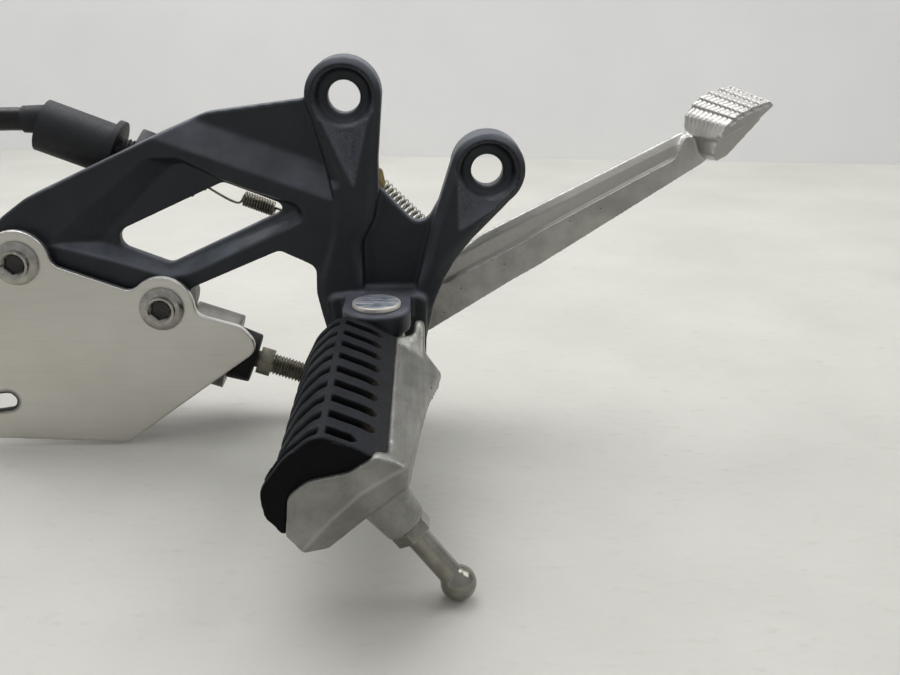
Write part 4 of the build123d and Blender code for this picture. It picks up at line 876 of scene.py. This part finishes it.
WIRE_RADIUS = 0.00045
COIL_RADIUS = 0.0023
COIL_START = 0.0001
pull_spring = merged_copy("switch_spring", "pull_spring")
bpy.ops.object.mode_set(mode="EDIT")
bpy.ops.mesh.select_all(action="SELECT")
bpy.ops.mesh.bisect(
    plane_co=on_switch(COIL_START), plane_no=SWITCH_AXIS, clear_inner=True, use_fill=True
)
bpy.ops.object.mode_set(mode="OBJECT")
bow_curve = bpy.data.curves.new("bowed_wire", "CURVE")
bow_curve.dimensions = "3D"
bow_curve.bevel_depth = WIRE_RADIUS
bow_curve.bevel_resolution = 3
bow_curve.use_fill_caps = True
bow_points = [
    on_switch(0.0004, COIL_RADIUS), on_switch(-0.0002, 0.0012), on_switch(-0.0002, -0.0012),
    on_switch(-0.0012, -0.0024), on_switch(-0.004, -0.0026), on_switch(-0.0105, -0.0014),
    on_switch(-0.0145, -0.0004), on_switch(-0.0158, 0.0004),
]
bow = bow_curve.splines.new("NURBS")
bow.points.add(len(bow_points) - 1)
for point, at in zip(bow.points, bow_points):
    point.co = tuple(at) + (1.0,)
bow.order_u = 4
bow.use_endpoint_u = True
bow_wire = bpy.data.objects.new("bowed_wire", bow_curve)
scene.collection.objects.link(bow_wire)
pick_only(bow_wire)
bpy.ops.object.convert(target="MESH")
join_into(pull_spring, bpy.context.object)
bpy.ops.object.shade_smooth_by_angle(angle=math.radians(50))
fit(pull_spring, "plunger", dull_steel, "switch_spring")


# Footpeg: a bare casting that folds back on a headed pin against a torsion spring.
# A ribbed rubber pad is screwed on from below, and a ball-ended feeler is screwed into a boss at its tip.
CREASE = [
    (-0.0335, -0.0898), (-0.0289, -0.0844), (-0.0222, -0.0766), (-0.0146, -0.0692), (-0.0071, -0.0643),
    (0.002, -0.0594),
]
CREASE_SLOPE = 0.34
CREASE_FRONT = -0.002
CREASE_REACH = 0.006
CREASE_WIDTH = 0.0009
PEG_TIP = -0.13
EAR_REAR = -0.0088
EAR_OUTER = -0.058
EAR_FOOT = -0.075
TIP_EDGE_REAR = -0.014
TIP_EDGE_INNER = -0.119
TIP_EDGE_FOOT = -0.0685


def crease_height(x):
    """Height of the crease on the peg's end face."""
    for (x0, z0), (x1, z1) in zip(CREASE, CREASE[1:]):
        if x <= x1:
            return z0 + (z1 - z0) * (x - x0) / (x1 - x0)
    return CREASE[-1][1]


def on_ear(at):
    """Ear beside the lug, which runs smoothly into the flank."""
    return at.x > EAR_REAR and at.y > EAR_OUTER and at.z > EAR_FOOT


def on_tip_edge(at):
    """Edge between the peg's flank and its end face."""
    return at.x > TIP_EDGE_REAR and at.y < TIP_EDGE_INNER and at.z > TIP_EDGE_FOOT


def round_over(piece, chosen, passes):
    """Rounds only the chosen points of a piece further."""
    group = piece.vertex_groups.new(name="rounded")
    group.add([v.index for v in piece.data.vertices if chosen(v.co)], 1.0, "REPLACE")
    rub = piece.modifiers.new("rub", "SMOOTH")
    rub.factor = 0.5
    rub.iterations = passes
    rub.vertex_group = group.name
    apply_all(piece)
    piece.vertex_groups.clear()


peg = softened("footpeg_body", "peg_casting", 0.0006, 3)
round_over(peg, on_ear, 40)
round_over(peg, on_tip_edge, 36)
# Near the tip each point also gets how close it lies to the crease, for a painted highlight along it.
crease_line = peg.data.attributes.new("crease", "FLOAT", "POINT")
for vertex, line in zip(peg.data.vertices, crease_line.data):
    below = crease_height(vertex.co.x) - vertex.co.z
    near_tip = 1.0 - ease(vertex.co.y, PEG_TIP, PEG_TIP + CREASE_REACH)
    if near_tip > 0.0 and vertex.co.x < CREASE_FRONT:
        vertex.co.y += CREASE_SLOPE * max(below, 0.0) * near_tip
        line.value = near_tip * math.exp(-(below / CREASE_WIDTH) ** 2)
peg_grey, tree, shader, place, colour = cast_finish(
    "peg_casting", "#83837e", "#999893", "#6c6b64", 260.0, 0.05
)
# A thin line along the end face's crease is painted lighter: a painted highlight on the crease.
crease_highlight = spread(tree, painted(tree, "crease"), 0.2, 1.0, 0.0, 0.3)
rubbed = spread(tree, noise(tree, place, 420.0, 3.0, (1.0, 0.05, 1.0)), 0.45, 0.72, 0.0, 0.55)
normal = tree.nodes.new("ShaderNodeNewGeometry").outputs["Normal"]
on_flank = spread(tree, axis_value(tree, normal, "Y"), -0.9, -0.5)
streaked = blend_colour(tree, sum_up(tree, rubbed, on_flank), colour, linear("#adaca7"))
tree.links.new(blend_colour(tree, crease_highlight, streaked, linear("#c2c1bb")), shader.inputs["Base Color"])
fit(peg, "footpeg", peg_grey, "footpeg_body")

GROOVES = 9
GROOVE_FIRST = -0.0488
GROOVE_PITCH = 0.0094
SLOT_HALF = 0.0022
SLOT_DEPTH = 0.0036
SLOT_TAPER = 0.0016
WAVE_DEPTH = 0.0028
FRONT_END = -0.0108
LAST_FRONT_END = -0.0150
RIB_FRONT = -0.0230
RIB_REAR = -0.0246
RIB_EDGE = 0.0006
FLANK_FOOT = -0.0735
FLANK_FADE = 0.006
PAD_MIDDLE = Vector((-0.018, 0.0, -0.073))
PAD_DROOP = 0.0018
DROOP_ALONG = (0.06, 0.125)
DROOP_UP = (-0.070, -0.056)
PAD_EDGE = -0.0073
FLATTENED = 0.0013
PAD_END_INNER = -0.1215
PAD_END_FOOT = -0.066
GROOVED_FOOT = -0.064
GROOVED_OUTER = -0.126


def groove_cut(at, outward):
    """Depth of the pad's grooves at a point: slots in front of the middle rib, waves behind it."""
    number = round((GROOVE_FIRST - at.y) / GROOVE_PITCH)
    from_middle = Vector((at.x - PAD_MIDDLE.x, 0.0, at.z - PAD_MIDDLE.z))
    if not 0 <= number < GROOVES or outward.dot(from_middle) <= 0.0:
        return 0.0
    off = at.y - (GROOVE_FIRST - number * GROOVE_PITCH)
    if at.x > RIB_FRONT:
        end = LAST_FRONT_END if number == GROOVES - 1 else FRONT_END
        narrowing = min(max((end - at.x) / SLOT_TAPER, 0.0), 1.0) ** 0.5
        if narrowing == 0.0:
            return 0.0
        half = SLOT_HALF * narrowing
        slot = 1.0 - ease(abs(off), 0.6 * half, half)
        return SLOT_DEPTH * slot * narrowing * ease(at.x, RIB_FRONT, RIB_FRONT + RIB_EDGE)
    if at.x < RIB_REAR:
        wave = (0.5 + 0.5 * math.cos(2 * math.pi * off / GROOVE_PITCH)) ** 5
        on_flank = ease(at.z, FLANK_FOOT, FLANK_FOOT + FLANK_FADE)
        return WAVE_DEPTH * wave * ease(RIB_REAR - at.x, 0.0, RIB_EDGE) * on_flank
    return 0.0


def on_pad_end(at):
    """Outer end of the pad, which is well rounded."""
    return at.y < PAD_END_INNER and at.z > PAD_END_FOOT - 0.4 * (at.x - PAD_EDGE)


def on_grooved_top(face):
    """Faces on the pad's top, where the grooves are."""
    return face.center.z > GROOVED_FOOT and face.normal.z > 0.0 and face.center.y > GROOVED_OUTER


pad = softened("peg_rubber", "peg_pad", 0.0005, 2)
round_over(pad, on_pad_end, 40)
divide(pad, on_grooved_top)
groove_mark = pad.data.attributes.new("groove", "FLOAT", "POINT")
cuts = [(v.normal.copy(), groove_cut(v.co, v.normal)) for v in pad.data.vertices]
for vertex, mark, (outward, cut) in zip(pad.data.vertices, groove_mark.data, cuts):
    mark.value = min(2.0 * cut / WAVE_DEPTH, 1.0)
    droop = PAD_DROOP * ease(-vertex.co.y, *DROOP_ALONG) * ease(vertex.co.z, *DROOP_UP)
    if RIB_FRONT < vertex.co.x < PAD_EDGE and outward.z > 0.2:
        droop += FLATTENED * math.sin(math.pi * (vertex.co.x - RIB_FRONT) / (PAD_EDGE - RIB_FRONT))
    vertex.co -= outward * cut + Vector((0.0, 0.0, droop))
bpy.ops.object.shade_smooth()

pad_rubber, tree, shader, place = new_finish("pad_rubber")
shade = use_group(tree, mottle, Place=place, Scale=150.0, Dark=linear("#15171b"), Light=linear("#1e2126"))
# What faces up is painted lighter: dust and painted top light.
dusty_and_top_lit = use_group(tree, dust_and_top_light, Place=place, Clean=shade["Colour"], Dust=linear("#303338"), Amount=0.4)
in_groove = spread(tree, painted(tree, "groove"), 0.1, 0.7)
# Towards the pad's +X edge the rubber is paler: dust trodden in.
strip = spread(tree, axis_value(tree, place, "X"), -0.0135, -0.0105, 0.0, 0.35)
lightened = blend_colour(tree, strip, dusty_and_top_lit["Colour"], linear("#2b2a27"))
# The grooves are painted near-black: painted shade in the grooves.
deep = blend_colour(tree, in_groove, lightened, linear("#020203"))
slot_end = sum_up(tree, in_groove, spread(tree, axis_value(tree, place, "X"), -0.0150, -0.0122))
residue = sum_up(tree, slot_end, spread(tree, noise(tree, place, 400.0, 3.0), 0.35, 0.6, 0.1, 0.7))
normal = tree.nodes.new("ShaderNodeNewGeometry").outputs["Normal"]
# Faces that look out along the peg's end are painted near-black: painted shade on the pad's end.
end_on = spread(tree, axis_value(tree, normal, "Y"), -0.9, -0.6, 1.0, 0.0)
ended = blend_colour(tree, end_on, deep, linear("#040506"))
tree.links.new(blend_colour(tree, residue, ended, linear("#4d4438")), shader.inputs["Base Color"])
shader.inputs["Specular IOR Level"].default_value = 0.12
tooth = use_group(tree, grain, Place=place, Scale=1300.0, Smooth=0.5, Rough=0.7)
tree.links.new(tooth["Roughness"], shader.inputs["Roughness"])
relief(tree, shader, tooth["Height"], 0.25, 0.0002)
fit(pad, "footpeg", pad_rubber, "peg_rubber")
pad_screws = edged("rubber_screws", "pad_screws", 0.0003)
fit(pad_screws, "footpeg", zinc, "rubber_screws")

FEELER_AXIS = Vector((0.601815, 0.0, -0.798636))
FEELER_BALL = Vector((0.0104, -0.116, -0.1041))
FEELER_SHAFT = 0.0182


def on_feeler_neck(at):
    """Shaft and ball, where the bolt flares smoothly from one into the other."""
    return (FEELER_BALL - at).dot(FEELER_AXIS) < FEELER_SHAFT


feeler = softened("feeler_bolt", "bank_feeler", 0.0003, 2)
round_over(feeler, on_feeler_neck, 30)
feeler_steel = simple_finish("feeler_steel", "#807e75", "#9c9a91", 1.0, (0.1, 0.2), 160.0, 500.0, 0.00006)[0]
fit(feeler, "footpeg", feeler_steel, "feeler_bolt")

PIN_AXIS = (-0.0139, -0.03, 0.0)
PIN_RIM = (0.0072, 0.0077)
pin_zinc, tree, shader, place = new_finish("scratched_zinc", metallic=0.75)
streaks = noise(tree, place, 1400.0, 4.0, (0.12, 1.0, 1.0))
shade = use_group(tree, mottle, Place=place, Scale=420.0, Dark=linear("#8e96a6"), Light=linear("#b6bcc8"))
worn = blend_colour(tree, spread(tree, streaks, 0.52, 0.6), shade["Colour"], linear("#e2e5ea"))
flat = tree.nodes.new("ShaderNodeVectorMath")
flat.operation = "MULTIPLY"
flat.inputs[1].default_value = (1.0, 1.0, 0.0)
tree.links.new(place, flat.inputs[0])
from_axis = tree.nodes.new("ShaderNodeVectorMath")
from_axis.operation = "DISTANCE"
from_axis.inputs[1].default_value = PIN_AXIS
tree.links.new(flat.outputs["Vector"], from_axis.inputs[0])
rim = spread(tree, from_axis.outputs["Value"], *PIN_RIM)
tree.links.new(blend_colour(tree, rim, worn, linear("#e4e1d8")), shader.inputs["Base Color"])
tree.links.new(spread(tree, streaks, 0.3, 0.7, 0.42, 0.58), shader.inputs["Roughness"])
relief(tree, shader, streaks, 0.3, 0.0002)
pin = edged("peg_pivot_pin", "fold_pin", 0.0003)
fit(pin, "bracket", pin_zinc, "peg_pivot_pin")
washer = edged("peg_pin_washer", "fold_washer", 0.0002)
fit(washer, "bracket", zinc, "peg_pin_washer")
clip = edged("peg_pin_clip", "fold_clip", 0.0002)
fit(clip, "bracket", dull_steel, "peg_pin_clip")
fold_spring = merged_copy("peg_torsion_spring", "fold_spring")
bpy.ops.object.shade_smooth_by_angle(angle=math.radians(50))
fit(fold_spring, "bracket", wire_bright, "peg_torsion_spring")
